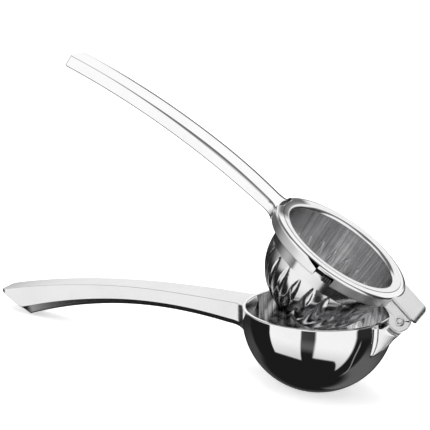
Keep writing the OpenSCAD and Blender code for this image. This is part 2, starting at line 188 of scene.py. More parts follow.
class StageSettings(bpy.types.PropertyGroup):
    distance: length("Camera distance", "From the bowl's rim to the camera", 700.0)
    azimuth: angle("Camera azimuth", "Direction of the camera, from the front towards the hinge", 16.71)
    elevation: angle("Camera elevation", "Height of the camera above the rim's plane", 17.17)
    aim_right: length("Aim right", "Where the camera aims, to the right of the bowl's middle", -52.74)
    aim_up: length("Aim up", "Where the camera aims, above the bowl's middle", 43.37)
    roll: angle("Camera roll", "Turn of the camera about its line of sight", 0.98)
    lens: FloatProperty(name="Lens", description="Focal length in millimetres", default=118.86)
    sky: amount("Sky", "Strength of the white surroundings on the object", 0.8)
    lamps: amount("Lamps", "Radiance of the soft lamps", 1.0)


GROUPS = {"bowl": BowlSizes, "hinge": HingeSizes, "ring": RingSizes, "cup": CupSizes,
          "handle": HandleSizes, "finish": FinishColours, "stage": StageSettings}


def sizes(name):
    """One group of settings, as the scene holds it."""
    return getattr(bpy.context.scene, "press_" + name)


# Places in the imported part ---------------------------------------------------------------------

def turned(points, tilt):
    """Points turned about the Y axis: a positive tilt lifts the -X side."""
    c, s = math.cos(tilt), math.sin(tilt)
    x, y, z = np.moveaxis(np.asarray(points, float), -1, 0)
    return np.stack([x * c + z * s, y, z * c - x * s], axis=-1)


def upper_tilt():
    """Tilt of the upper arm at rest: the angle between its cup's axis and the vertical."""
    axis = JOINTS["cup_twist"]["axis"]
    return math.atan2(axis[0], axis[2])


def lower_tilt():
    """Tilt of the lower arm at rest: the bowl's centre lies straight above the rest flat, so its
    direction from the hinge, less its direction when the rim is level, is the tilt."""
    bowl, hinge = sizes("bowl"), sizes("hinge")
    flat = MOUNTS["rest_flat"]["pos_m"]
    centre_z = flat[2] + math.sqrt(bowl.rim_r ** 2 - bowl.flat_r ** 2)
    now = math.atan2(-centre_z, -flat[0])
    level = math.atan2(hinge.axis_z + bowl.straight, hinge.axis_x)
    return level - now


def placed(points, tilt):
    """Closed-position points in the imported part's frame, whose origin is the hinge."""
    hinge = sizes("hinge")
    return turned(np.asarray(points, float) - np.array([hinge.axis_x, 0.0, hinge.axis_z]), tilt)


def lower_place(points):
    return placed(points, lower_tilt())


def upper_place(points):
    return placed(points, upper_tilt())


def worktop_z():
    return MOUNTS["rest_flat"]["pos_m"][2]


# Surfaces --------------------------------------------------------------------------------------

def grid_faces(rows, columns, wrap_rows):
    """Corner numbers of the faces of a grid whose columns close on themselves."""
    i = np.arange(rows if wrap_rows else rows - 1)[:, None]
    j = np.arange(columns)[None, :]
    i_next, j_next = (i + 1) % rows, (j + 1) % columns
    corners = [i * columns + j, i * columns + j_next, i_next * columns + j_next, i_next * columns + j]
    return np.stack(np.broadcast_arrays(*corners), axis=-1).reshape(-1, 4)


def signed_volume(points, faces):
    """Volume inside a closed skin of four-cornered faces, negative where they point inwards."""
    a, b, c, d = (points[faces[:, k]] for k in range(4))
    return (np.einsum("ij,ij->", a, np.cross(b, c)) + np.einsum("ij,ij->", a, np.cross(c, d))) / 6


def mesh_from(name, surfaces, fields=None):
    """A mesh object of closed skins. Each is (grid of points, whether its rows close too). fields
    holds values for each point of the grids, by name: (n,) for numbers and (n, 3) for vectors."""
    all_points, all_faces, start = [], [], 0
    for grid, wrap_rows in surfaces:
        rows, columns = grid.shape[:2]
        points, faces = grid.reshape(-1, 3), grid_faces(rows, columns, wrap_rows)
        if signed_volume(points, faces) < 0:
            faces = faces[:, ::-1]
        all_points.append(points)
        all_faces.append(faces + start)
        start += len(points)
    mesh = bpy.data.meshes.new(name)
    mesh.from_pydata(np.concatenate(all_points).tolist(), [], np.concatenate(all_faces).tolist())
    for label, values in (fields or {}).items():
        vector = np.ndim(values) == 2
        layer = mesh.attributes.new(label, "FLOAT_VECTOR" if vector else "FLOAT", "POINT")
        layer.data.foreach_set("vector" if vector else "value", np.asarray(values, float).ravel())
    obj = bpy.data.objects.new(name, mesh)
    bpy.context.scene.collection.objects.link(obj)
    weld(mesh)
    return obj


def weld(mesh):
    """Merges doubled points, which closes poles and drops the faces that shrink to nothing."""
    work = bmesh.new()
    work.from_mesh(mesh)
    bmesh.ops.remove_doubles(work, verts=work.verts, dist=WELD_GAP)
    bmesh.ops.dissolve_degenerate(work, dist=WELD_GAP, edges=work.edges)
    work.to_mesh(mesh)
    work.free()


def cut(obj, cutters, operation="DIFFERENCE"):
    """Cuts the cutters out of a piece, or joins them to it, and removes them."""
    for cutter in cutters:
        modifier = obj.modifiers.new("cut", "BOOLEAN")
        modifier.operation = operation
        modifier.solver = "EXACT"
        modifier.object = cutter
    shaped = bpy.data.meshes.new_from_object(obj.evaluated_get(bpy.context.evaluated_depsgraph_get()))
    obj.modifiers.clear()
    old, obj.data = obj.data, shaped
    shaped.name = obj.name
    bpy.data.meshes.remove(old)
    for cutter in cutters:
        data = cutter.data
        bpy.data.objects.remove(cutter)
        bpy.data.meshes.remove(data)


def mark_faces(obj, value):
    """Gives every face of a piece or a cutter its share of painted shade."""
    layer = obj.data.attributes.new("blackened", "FLOAT", "FACE")
    layer.data.foreach_set("value", np.full(len(obj.data.polygons), value))


def finish_piece(obj, body, nodes, material, sharp=38.0):
    """Smooth shading with crisp edges, the finish, the body it rides on and the solids it stands for."""
    obj.data.shade_smooth()
    obj.data.set_sharp_from_angle(angle=math.radians(sharp))
    obj.data.materials.clear()
    obj.data.materials.append(material)
    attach(obj, body)
    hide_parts(*nodes)
    return obj


def corners_rounded(corners, radii, steps=6):
    """Closed outlines with round corners. corners is (..., k, 2) and radii (..., k). Each corner
    becomes an arc of a circle between its two tangent points, drawn as a rational parabola whose
    middle weight is the sine of half the corner's angle. Straight runs get a point close to each
    end, which keeps their shading flat."""
    corners = np.asarray(corners, float)
    radii = np.broadcast_to(np.asarray(radii, float), corners.shape[:-1])
    before = np.roll(corners, 1, axis=-2) - corners
    after = np.roll(corners, -1, axis=-2) - corners
    size_b = np.linalg.norm(before, axis=-1, keepdims=True)
    size_a = np.linalg.norm(after, axis=-1, keepdims=True)
    before, after = before / np.maximum(size_b, 1e-12), after / np.maximum(size_a, 1e-12)
    half = np.arccos(np.clip((before * after).sum(-1), -1, 1)) / 2
    tangent = np.minimum(radii / np.tan(np.maximum(half, 1e-3)), 0.49 * np.minimum(size_a, size_b)[..., 0])
    first = corners + before * tangent[..., None]
    last = corners + after * tangent[..., None]
    weight = np.sin(half)[..., None, None]
    t = np.linspace(0, 1, steps + 1)[:, None]
    low, mid, high = (1 - t) ** 2, 2 * t * (1 - t) * weight, t ** 2
    total = low + mid + high
    arc = (first[..., None, :] * low + corners[..., None, :] * mid + last[..., None, :] * high) / total
    lead_in = first + before * np.minimum(0.12 * MM, 0.2 * size_b)
    lead_out = last + after * np.minimum(0.12 * MM, 0.2 * size_a)
    whole = np.concatenate([lead_in[..., None, :], arc, lead_out[..., None, :]], axis=-2)
    return whole.reshape(corners.shape[:-2] + (-1, 2))


def revolved(profile, around, spin_axis="Z"):
    """A profile of (radius, height) points turned once about the axis: the point at height h and
    radius r goes to (r cos a, r sin a, h), or with the height along Y for the rivet."""
    a = np.arange(around) * 2 * math.pi / around
    r, h = profile[:, 0][:, None], profile[:, 1][:, None]
    flat = [r * np.cos(a), r * np.sin(a), h + 0 * a]
    order = [0, 1, 2] if spin_axis == "Z" else [0, 2, 1]
    return np.stack([flat[k] for k in order], axis=-1)


def brush_fields(rows, around, size, inner_from, stretch):
    """Two fields for a turned skin: where polishing lines lie, as a point on a ring of the given
    size that moves slowly along the profile, and a share that is 1 on the inner wall."""
    a = np.arange(around) * 2 * math.pi / around
    along = np.arange(rows)[:, None] * size / rows / stretch
    ring = np.stack(np.broadcast_arrays(size * np.cos(a), size * np.sin(a), along), axis=-1)
    inner = np.broadcast_to((np.arange(rows) >= inner_from)[:, None], (rows, around))
    return {"brush": ring.reshape(-1, 3), "inner_wall": inner.ravel().astype(float)}


def arc_points(centre, radius, start, end, steps):
    """Points on a circle's arc, as (radius, height) pairs, from one angle to another in degrees."""
    return np.array(centre) + circle(np.radians(np.linspace(start, end, steps)), radius)


def circle(angles, radius=1.0):
    """Points (radius cos a, radius sin a) on a circle, as (x, y) pairs."""
    return radius * np.stack([np.cos(angles), np.sin(angles)], axis=-1)


def stacked(outlines, levels):
    """Outlines of (x, y) points, each lifted to its own level along Z, as the rows of a grid."""
    return np.stack([np.column_stack([outline, np.full(len(outline), level)])
                     for outline, level in zip(outlines, levels)])


def middle_of(ring):
    """A ring shrunk to its middle, which closes the end of a grid."""
    return np.broadcast_to(ring.mean(axis=0), ring.shape)


def at_hinge(points):
    """Points about the hinge axis, moved to where it lies in the closed position."""
    hinge = sizes("hinge")
    return points + np.array([hinge.axis_x, 0, hinge.axis_z])


def cutter(grid, place):
    """A closed skin that is only there to cut or to join."""
    return mesh_from("cutter", [(place(grid), False)])


def box_cutter(low, high, place):
    """A box between two closed-position corners, as a cutter."""
    x, y, z = zip(low, high)
    rows = [[(x[i], y[0], z[0]), (x[i], y[1], z[0]), (x[i], y[1], z[1]), (x[i], y[0], z[1])] for i in (0, 1)]
    middle = [[(x[i], (y[0] + y[1]) / 2, (z[0] + z[1]) / 2)] * 4 for i in (0, 1)]
    return cutter(np.array([middle[0], *rows, middle[1]]), place)


def prism_cutter(outline, low, high, place):
    """A straight prism on an outline, between two levels, as a cutter."""
    middle = middle_of(outline)
    return cutter(stacked([middle, outline, outline, middle], (low, low, high, high)), place)


# Handles ---------------------------------------------------------------------------------------

# Radii of the handles' arches in millimetres, towards the end and towards the bowl
LOWER_TOP_R, LOWER_SIDE_R, LOWER_BELLY_R = (400, 850), (265, 235), (225, 225)
UPPER_TOP_R, UPPER_SIDE_R = (480, 300), (490, 450)
# Radii of a handle's six long edges in millimetres, from the top left one round
LOWER_EDGES = np.array([0.45, 0.45, 0.5, 1.0, 1.0, 0.5])
UPPER_EDGES = np.array([0.5, 0.5, 0.5, 1.0, 1.0, 0.5])
# Points that corners_rounded draws for one corner: an arc of seven, and one on each side
CORNER_POINTS = 9
# Where both handles' roots start to bend onto their seats, from the bowl's axis
SEAT_FROM = -46 * MM
# How far the upper handle's crown stands above its arch
CROWN_RISE = 0.8 * MM


def arch(x, top, radii, crown):
    """Height of an arch: a circle's arc on each side of its crown, with its own radius."""
    radius = np.where(x < -crown, radii[0], radii[1]) * MM
    return top + np.sqrt(radius ** 2 - (x + crown) ** 2) - radius


def eased(x, start, end):
    """A smooth step from 0 at start to 1 at end."""
    t = np.clip((x - start) / (end - start), 0, 1)
    return t * t * (3 - 2 * t)


def quarter_flare(d, size, grow):
    """How much wider a root is at a distance d from its seat: a quarter of a circle."""
    t = np.clip(1 - d / size, 0, 1)
    return grow * (1 - np.sqrt(1 - t ** 2))


def corner_loss(d, radius):
    """How much narrower a bar is at a distance d from its end: a round corner in plan."""
    t = np.clip(radius - d, 0, radius)
    return radius - np.sqrt(radius ** 2 - t ** 2)


def handle_sections(x, w, top, side, low, belly, radii):
    """Rounded six-cornered sections: flat top, upright sides and a chamfered underside."""
    def spot(y, z):
        return np.stack(np.broadcast_arrays(y, z), axis=-1)
    narrow = w - belly
    corners = np.stack([spot(-w, top), spot(w, top), spot(w, side), spot(narrow, low),
                        spot(-narrow, low), spot(-w, side)], axis=-2)
    outline = corners_rounded(corners, radii)
    return np.concatenate([np.broadcast_to(x[:, None, None], outline.shape[:-1] + (1,)), outline], axis=-1)


def crowned(grid, w, top, shoulder, flank):
    """Sections with a crowned top and soft shoulders: from the middle the surface leans outwards on
    a wide arc to 13 degrees, on an arc of the shoulder radius to 20 degrees, and from 36 degrees to
    upright on an arc of the flank radius. They replace the flat top and its two corners."""
    crown, lean, turn = (np.radians(np.linspace(*span)) for span in ((0, 13, 7), (13, 20, 4), (36, 90, 11)))
    s, f = shoulder[:, None], flank[:, None]
    end = w[:, None] - f * (1 - math.sin(turn[0]))
    wide = (end - s * (math.sin(lean[-1]) - math.sin(lean[0]))) / math.sin(crown[-1])
    y = np.concatenate([wide * np.sin(crown), end + s * (np.sin(lean[1:]) - math.sin(lean[-1])),
                        w[:, None] - f * (1 - np.sin(turn))], axis=1)
    fall = wide * (1 - np.cos(crown))
    fall = np.concatenate([fall, fall[:, -1:] + s * (math.cos(lean[0]) - np.cos(lean[1:]))], axis=1)
    fall = np.concatenate([fall, fall[:, -1:] + f * (math.cos(turn[0]) - np.cos(turn))], axis=1)
    z = top[:, None] - fall
    half = np.stack([np.broadcast_to(grid[:, :1, 0], y.shape), y, z], axis=-1)
    mirror = half[:, :0:-1] * np.array([1, -1, 1])
    return np.concatenate([mirror, half, grid[:, 2 * CORNER_POINTS:]], axis=1)


def spaced(root, end, step, fine, ends):
    """Stations from a root to an end, closer together along a short run at each end."""
    quarter = 1 - np.cos(np.linspace(0, math.pi / 2, ends))
    near = root - fine[0] * quarter
    far = end + fine[1] * quarter[::-1]
    between = np.linspace(near[-1], far[0], int((near[-1] - far[0]) / step) + 2)[1:-1]
    return np.concatenate([near, between, far])


def closed_bar(grid, nose):
    """Closes a bar's far end with a rounded nose: rings that shrink on a quarter circle towards
    the last ring's middle while they move on, and one point in the middle of each end."""
    last = grid[-1]
    middle = last.mean(axis=0)
    size = np.abs(last - middle).max(axis=0)
    rings = []
    for a in np.linspace(0, math.pi / 2, 7)[1:]:
        loss = nose * (1 - math.cos(a))
        share = np.array([1.0, 1 - loss / size[1], max(0.0, 1 - loss / size[2])])
        rings.append(middle + (last - middle) * share - np.array([nose * math.sin(a), 0, 0]))
    for share in (0.6, 0.0):
        rings.append(rings[5].mean(axis=0) + (rings[5] - rings[5].mean(axis=0)) * share)
    return np.concatenate([middle_of(grid[0])[None], grid, np.stack(rings)])


def seated(grid, radius, centre_z, blend_from):
    """Bends a bar's root onto a ball or drum: between blend_from and the first ring, x moves over
    to the seat's surface, whose distance from the axis is radius at the height centre_z."""
    x, y, z = np.moveaxis(grid, -1, 0)
    drop = 0 if centre_z is None else z - centre_z
    surface = -np.sqrt(radius ** 2 - y ** 2 - np.minimum(drop, 0) ** 2)
    share = np.clip((x - blend_from) / (x[0, 0] - blend_from), 0, 1)
    return np.stack([x + (surface - x[0, 0]) * share, y, z], axis=-1)


def make_lower_handle():
    """Sections along -X: the top and the sides' lower edge follow arches, the underside follows a
    tighter arch, the width eases out to the root, and a slanting plane cuts the tip from below."""
    h, bowl = sizes("handle"), sizes("bowl")
    root = -bowl.rim_r + 0.8 * MM
    x = spaced(root, -h.lower_reach + 0.4 * MM, 1.6 * MM, (6 * MM, 4 * MM), 16)
    flare = quarter_flare(root - x - 0.5 * MM, 4.5 * MM, 3.2 * MM)
    w = (h.lower_w + (h.lower_root_w - h.lower_w) * eased(x, -110 * MM, -40 * MM)) / 2 + flare
    w = w - corner_loss(x + h.lower_reach, 3.5 * MM)
    top = arch(x, h.lower_crown, LOWER_TOP_R, h.crown_x)
    side = arch(x, h.lower_crown - h.lower_side_h, LOWER_SIDE_R, h.crown_x)
    belly = arch(x, h.lower_crown - h.lower_side_h - h.lower_belly, LOWER_BELLY_R, h.crown_x)
    low = np.minimum(side - h.lower_chamfer / 2, belly)
    heel_x = -(h.lower_reach - h.tip_length)
    heel_low = np.interp(heel_x, x[::-1], low[::-1])
    plane = heel_low - (x - heel_x) * math.tan(h.tip_cut)
    low = np.where(x < heel_x, np.maximum(low, plane), low)
    side = np.maximum(side, low + 0.25 * h.lower_chamfer)
    grid = handle_sections(x, w, top, side - 0.5 * flare, low - 0.6 * flare,
                           h.lower_chamfer, LOWER_EDGES * MM)
    grid = seated(grid, bowl.rim_r - 0.7 * MM, -bowl.straight, SEAT_FROM)
    obj = mesh_from("lower_handle_skin", [(lower_place(closed_bar(grid, 0.2 * MM)), False)])
    return finish_piece(obj, "lower_arm", ["lower_handle"], finish("Lower Handle Satin"))


def make_upper_handle():
    """Sections along -X between two arches, with parallel sides and a squared end. The shoulders
    between the top and the sides grow rounder towards the ring."""
    h, ring = sizes("handle"), sizes("ring")
    root = -ring.low_r + 0.4 * MM
    x = spaced(root, -h.upper_reach + 0.4 * MM, 1.6 * MM, (6 * MM, 2.5 * MM), 14)
    soft = eased(x, -150 * MM, -48 * MM)
    shoulder, flank = 2 * MM + (h.shoulder - 2 * MM) * soft, h.edge_r + (h.flank - h.edge_r) * soft
    flare = quarter_flare(root - x - 0.5 * MM, 5 * MM, 4.2 * MM)
    w = h.upper_w / 2 + 0.25 * flank + flare - corner_loss(x + h.upper_reach, 1.2 * MM)
    top = arch(x, h.upper_crown, UPPER_TOP_R, h.crown_x)
    side = arch(x, h.upper_crown - h.upper_side_h, UPPER_SIDE_R, h.crown_x)
    low = side - 0.8 * h.belly
    grid = handle_sections(x, w, top, side, low, h.belly, UPPER_EDGES * MM)
    grid = crowned(grid, w, top + CROWN_RISE, shoulder, flank)
    grid = seated(grid, ring.low_r - 0.3 * MM, None, SEAT_FROM)
    obj = mesh_from("upper_handle_skin", [(upper_place(closed_bar(grid, 0.4 * MM)), False)])
    return finish_piece(obj, "upper_arm", ["upper_handle"], finish("Upper Handle Polish"))


# Bowl and hinge --------------------------------------------------------------------------------

# Points around the bowl, and along the outside and the inside of its round bottom
BOWL_AROUND, BOWL_OUTSIDE, BOWL_INSIDE = 240, 84, 72
# The gusset's front in millimetres, as (height above the bowl's rim, distance from the bowl's axis)
GUSSET_FRONT = np.array([
    (-17.3, 30.5), (-16.4, 32.3), (-14.7, 35.1), (-12.3, 37.8), (-9.6, 39.9), (-6.8, 41.9),
    (-5.3, 43.2), (-4.4, 44.3), (-3.2, 45.3), (-1.2, 46.8), (0, 47.0)])
# The gusset's lowest and highest slices, how many there are, and the step under the ring
GUSSET_LOW, GUSSET_HIGH, GUSSET_SLICES, GUSSET_STEP = -17 * MM, -0.2 * MM, 68, -1.6 * MM


def make_lower_bowl():
    """A ball's lower half under a short upright wall, with a rounded rim, the same shape again
    inside, a flat ground under it and rings of drain holes."""
    b = sizes("bowl")
    centre = (0.0, -b.straight)
    inner = b.rim_r - b.wall
    rim = corners_rounded([(b.rim_r, -b.straight), (b.rim_r, 0), (inner, 0), (inner, -b.straight)],
                          [0, 0.7 * MM, 0.7 * MM, 0])
    walls = rim[7:-7]
    profile = np.concatenate([arc_points(centre, b.rim_r, -90, -1, BOWL_OUTSIDE), walls,
                              arc_points(centre, inner, -1, -90, BOWL_INSIDE)])
    points = lower_place(revolved(profile, BOWL_AROUND))
    points[..., 2] = np.maximum(points[..., 2], worktop_z())
    fields = brush_fields(len(profile), BOWL_AROUND, b.rim_r, BOWL_OUTSIDE + len(walls) - 6, 5.0)
    obj = mesh_from("lower_bowl_skin", [(points, False)], fields)
    holes = [(0.0, 0.0)] + [(ring * b.drain_pitch, math.radians(30 + 60 / ring * i))
                            for ring in (1, 2) for i in range(6 * ring)]
    disc = circle(np.arange(32) * 2 * math.pi / 32, b.drain_r)
    cutters = [prism_cutter(disc + reach * np.array([math.cos(turn), math.sin(turn)]),
                            -b.rim_r - b.straight - 2 * MM, -b.rim_r, lower_place) for reach, turn in holes]
    cut(obj, cutters)
    return finish_piece(obj, "lower_arm", ["lower_bowl"], finish("Bowl Polish"))


def drum(radius, y_low, y_high, around=96):
    """A cylinder along Y about the hinge axis, closed at both ends, as a grid."""
    profile = np.array([(0, y_low), (radius, y_low), (radius, y_high), (0, y_high)])
    return at_hinge(revolved(profile, around, "Y"))


def gusset_slices(z, front):
    """Level slices of the gusset at heights z, each with its front at x = front: from inside the
    ball along a concave arc, tangent to the ball and to the side at y = -w, along the side, round
    the front corner and mirrored back. The arc's radius shrinks with the room in front of the ball."""
    g, bowl = sizes("hinge"), sizes("bowl")
    w = g.gusset_w / 2
    ball = np.sqrt(bowl.rim_r ** 2 - np.minimum(z + bowl.straight, 0) ** 2)
    room = front - np.sqrt(ball ** 2 - w ** 2)
    f = g.fillet * np.sqrt(np.clip(room / (7 * MM), 0.02, 1))
    corner = 1.5 * MM
    meet = np.sqrt((ball + f) ** 2 - (w + f) ** 2)
    shift = np.minimum(front - corner - meet, 0)
    first = np.arctan2(w + f, meet)
    turn = first[:, None] * np.linspace(1, 0, 16) + math.pi / 2 * np.linspace(0, 1, 16)
    x = (meet + shift)[:, None] - f[:, None] * np.cos(turn)
    y = f[:, None] * np.sin(turn) - (w + f)[:, None]
    inside_x = meet + shift - 1.2 * MM * np.cos(first) - f * np.cos(first)
    inside_y = -(w + f) + f * np.sin(first) + 1.2 * MM * np.sin(first)
    bend = np.linspace(0, math.pi / 2, 8)
    round_x = front[:, None] - corner + corner * np.sin(bend)
    round_y = np.broadcast_to(-w + corner * (1 - np.cos(bend)), round_x.shape)
    half_x = np.concatenate([(inside_x - 7 * MM)[:, None], inside_x[:, None], x, round_x], axis=1)
    half_y = np.concatenate([(-5 * MM + 0 * z)[:, None], inside_y[:, None], y, round_y], axis=1)
    xs = np.concatenate([half_x, half_x[:, ::-1]], axis=1)
    ys = np.concatenate([half_y, -half_y[:, ::-1]], axis=1)
    return np.stack([xs, ys, np.broadcast_to(z[:, None], xs.shape)], axis=-1)


def make_hinge_bracket():
    """A gusset of level slices under the rim, whose sides run into the ball on concave arcs and
    whose underside rises to the hinge. It is joined to the knuckle and cut out around the ears."""
    g, bowl = sizes("hinge"), sizes("bowl")
    z = np.linspace(GUSSET_LOW, GUSSET_HIGH, GUSSET_SLICES)
    front = np.interp(z, GUSSET_FRONT[:, 0] * MM, GUSSET_FRONT[:, 1] * MM)
    front = np.convolve(np.pad(front, 3, mode="edge"), np.ones(7) / 7, mode="valid")
    grid = gusset_slices(z, front)
    closed = np.concatenate([middle_of(grid[0])[None], grid, middle_of(grid[-1])[None]])
    obj = mesh_from("hinge_bracket_skin", [(lower_place(closed), False)])
    pockets = [box_cutter((20 * MM, -25 * MM, GUSSET_STEP), (39.6 * MM, 25 * MM, 4 * MM), lower_place)]
    for side in (-1, 1):
        reach = sorted((side * g.knuckle_y, side * (g.ear_y + 6 * MM)))
        pockets.append(cutter(drum(g.pocket_r, *reach), lower_place))
        corner = (g.axis_x, reach[0], g.axis_z - g.pocket_r)
        pockets.append(box_cutter(corner, (g.axis_x + 12 * MM, reach[1], g.axis_z + 8 * MM), lower_place))
    cut(obj, pockets)
    cut(obj, [cutter(drum(g.knuckle_r, -g.knuckle_y, g.knuckle_y), lower_place)], "UNION")
    ball = revolved(arc_points((0, -bowl.straight), bowl.rim_r - 0.5 * MM, -90, 90, 48), 96)
    cut(obj, [cutter(ball, lower_place)])
    return finish_piece(obj, "lower_arm", ["hinge_bracket"], finish("Bracket Polish"))


def ear_outline():
    """The ear's outline about the hinge axis: a round end on a level web that reaches under the
    tail plate and back to the ring."""
    g, ring = sizes("hinge"), sizes("ring")
    slope = math.tan(g.tail_droop)
    top_z = (g.ear_r + 0.2 * MM) / math.cos(g.tail_droop) - g.tail_t / math.cos(g.tail_droop)
    back_x = math.sqrt(ring.low_r ** 2 - g.ear_y ** 2) - g.axis_x
    front_x = 0.82 * g.ear_r
    round_end = circle(np.radians(np.linspace(38, -165, 49)), g.ear_r)
    web = np.array([(-g.ear_r - 0.9 * MM, -0.35 * MM), (-g.ear_r - 2.2 * MM, 0.1 * MM), (back_x, 0.7 * MM),
                    (back_x, top_z - back_x * slope), (front_x * 0.2, top_z - 0.2 * front_x * slope),
                    (front_x, top_z - front_x * slope)])
    steps = [round_end]
    for start, end in zip([round_end[-1], *web], [*web, round_end[0]]):
        t = np.linspace(0, 1, 9)[1:-1, None]
        steps += [start + (end - start) * t, end[None]]
    return np.concatenate(steps)[:-1]


def inset(outline, distance):
    """An outline moved inwards by a distance, along the normal between each point's neighbours."""
    along = np.roll(outline, -1, axis=0) - np.roll(outline, 1, axis=0)
    normal = np.stack([along[:, 1], -along[:, 0]], axis=-1)
    normal /= np.linalg.norm(normal, axis=-1, keepdims=True)
    x, y = outline.T
    turning = np.sum(x * np.roll(y, -1) - np.roll(x, -1) * y)
    return outline - math.copysign(distance, turning) * normal


def make_ear(name, side):
    """A plate between two faces: rings run from the rivet's hole over the face, round the edge on
    a small quarter circle, across the thickness and back to the hole."""
    g = sizes("hinge")
    outline = ear_outline()
    hole = outline / np.linalg.norm(outline, axis=-1, keepdims=True) * (g.rivet_r - 0.05 * MM)
    edge = 0.5 * MM
    flat = inset(outline, 1.15 * edge)
    rings = [(hole, 0.0), (hole + (flat - hole) * 0.5, 0.0), (flat, 0.0)]
    for a in np.linspace(0, math.pi / 2, 6):
        rings.append((inset(outline, edge * (1 - math.sin(a))), edge * (1 - math.cos(a))))
    rings += [(ring, g.ear_t - level) for ring, level in rings[::-1]]
    grid = stacked(*zip(*rings))[..., [0, 2, 1]]
    grid[..., 1] = side * (g.ear_y - grid[..., 1])
    obj = mesh_from(name + "_skin", [(upper_place(at_hinge(grid)), True)])
    return finish_piece(obj, "upper_arm", [name], finish("Ear Satin"))


def make_tail_plate():
    """Rounded flat sections along the drooping plate, from the ring to a gently bowed end. The
    plate's edges are undercut, and near its end its corners are round in plan."""
    g, ring = sizes("hinge"), sizes("ring")
    run = g.tail_over / math.cos(g.tail_droop)
    start = -(g.axis_x - ring.seat_r - 0.8 * MM) / math.cos(g.tail_droop)
    s = start + (run - start) * np.sin(np.linspace(0, math.pi / 2, 44))
    w = g.tail_w / 2 - corner_loss(run - s, 2.6 * MM)
    top = (g.ear_r + 0.2 * MM) / math.cos(g.tail_droop)
    zero = np.zeros_like(s)
    corners = np.stack([np.stack([-w, zero], -1), np.stack([w, zero], -1),
                        np.stack([w - 0.5 * MM, zero - g.tail_t], -1),
                        np.stack([0.5 * MM - w, zero - g.tail_t], -1)], axis=-2)
    outline = corners_rounded(corners, np.array([0.35, 0.35, 0.95, 0.95]) * MM, 8)
    y, up = outline[..., 0], outline[..., 1]
    curl = np.clip((s[:, None] - run + 2.0 * MM) / (2.1 * MM), 0, 1)
    up = up - 0.9 * MM * (1 - np.sqrt(1 - curl ** 2))
    along = s[:, None] - np.clip((s[:, None] - start) / (run - start), 0, 1) * y ** 2 / (140 * MM)
    c, k = math.cos(g.tail_droop), math.sin(g.tail_droop)
    grid = np.stack([g.axis_x + along * c + up * k, y, g.axis_z + top - along * k + up * c], axis=-1)
    last = grid[-1]
    middle = last.mean(axis=0)
    nose = [middle + (last - middle) * share + np.array([c, 0, -k]) * 0.55 * MM * reach
            for share, reach in ((0.985, 0.4), (0.95, 0.75), (0.88, 0.95), (0.75, 1.0), (0.0, 1.0))]
    closed = np.concatenate([middle_of(grid[0])[None], grid, np.stack(nose)])
    obj = mesh_from("tail_plate_skin", [(upper_place(closed), False)])
    return finish_piece(obj, "upper_arm", ["tail_plate"], finish("Tail Satin"))


def make_rivet():
    """A tube whose ends are rolled outwards into low rounded collars."""
    g = sizes("hinge")
    end = g.ear_y + 0.35 * MM
    collar = [(g.rivet_r, end - 1.1 * MM), (g.head_r, end - 0.45 * MM), (g.head_r, end - 0.2 * MM),
              (g.bore_r + 0.5 * MM, end), (g.bore_r + 0.1 * MM, end - 0.35 * MM), (g.bore_r, end - 0.9 * MM)]
    right = corners_rounded(np.array([*collar, (g.bore_r, 0), (g.rivet_r, 0)]),
                            np.array([0.2, 0.15, 0.15, 0.35, 0.2, 0.1, 0, 0]) * MM)
    right = right[:-16]
    profile = np.concatenate([right, (right * [1, -1])[::-1]])
    grid = at_hinge(revolved(profile, 72, "Y"))
    obj = mesh_from("hinge_rivet_skin", [(upper_place(grid), True)])
    return finish_piece(obj, "upper_arm", ["hinge_rivet"], finish("Rivet Steel"))


def make_washer(name, side):
    """A flat ring between an ear and the knuckle."""
    g = sizes("hinge")
    inner, outer = g.rivet_r + 0.05 * MM, g.knuckle_r
    y0, y1 = g.knuckle_y + 0.12 * MM, g.ear_y - g.ear_t - 0.12 * MM
    corners = corners_rounded([(inner, y0), (outer, y0), (outer, y1), (inner, y1)], 0.1 * MM, 3)
    grid = at_hinge(revolved(corners * [1, side], 64, "Y"))
    obj = mesh_from(name + "_skin", [(upper_place(grid), True)])
    return finish_piece(obj, "upper_arm", [name], finish("Rivet Steel"))


# Ring and press cup ----------------------------------------------------------------------------

# The painted shade on the web around the upper handle's root: how strong it is, the angle from the handle at
# which that has faded out, and the angle over which it fades, in degrees
WEB_PAINTED_SHADE, WEB_END, WEB_FADE = 0.88, 34, 9
# Points around the ring, and the profile's rows on its outer wall: the last one, and the
# rows over which the wall's roughness fades at its top and at its foot
RING_AROUND, SKIRT_ROWS, SKIRT_TOP_FADE, SKIRT_FOOT_FADE = 320, 16, 4, 3
# How much deeper the flutes show as ribs inside the cup
RIB_GAIN = 1.25


def ring_sector(r_low, r_high, start, end, z_low, z_high, place):
    """A part of a ring between two radii, two angles and two heights, as a cutter."""
    a = np.linspace(start, end, 17)
    outline = np.concatenate([circle(a, r_high), circle(a, r_low)[::-1]])
    middle_a = (start + end) / 2
    middle = (r_low + r_high) / 2 * np.array([math.cos(middle_a), math.sin(middle_a)])
    middle = np.broadcast_to(middle, outline.shape)
    return cutter(stacked([middle, outline, outline, middle], (z_low, z_low, z_high, z_high)), place)


def upper_place_far(points):
    """Like upper_place, after half a turn about the ring's axis."""
    return upper_place(points * np.array([-1, -1, 1]))


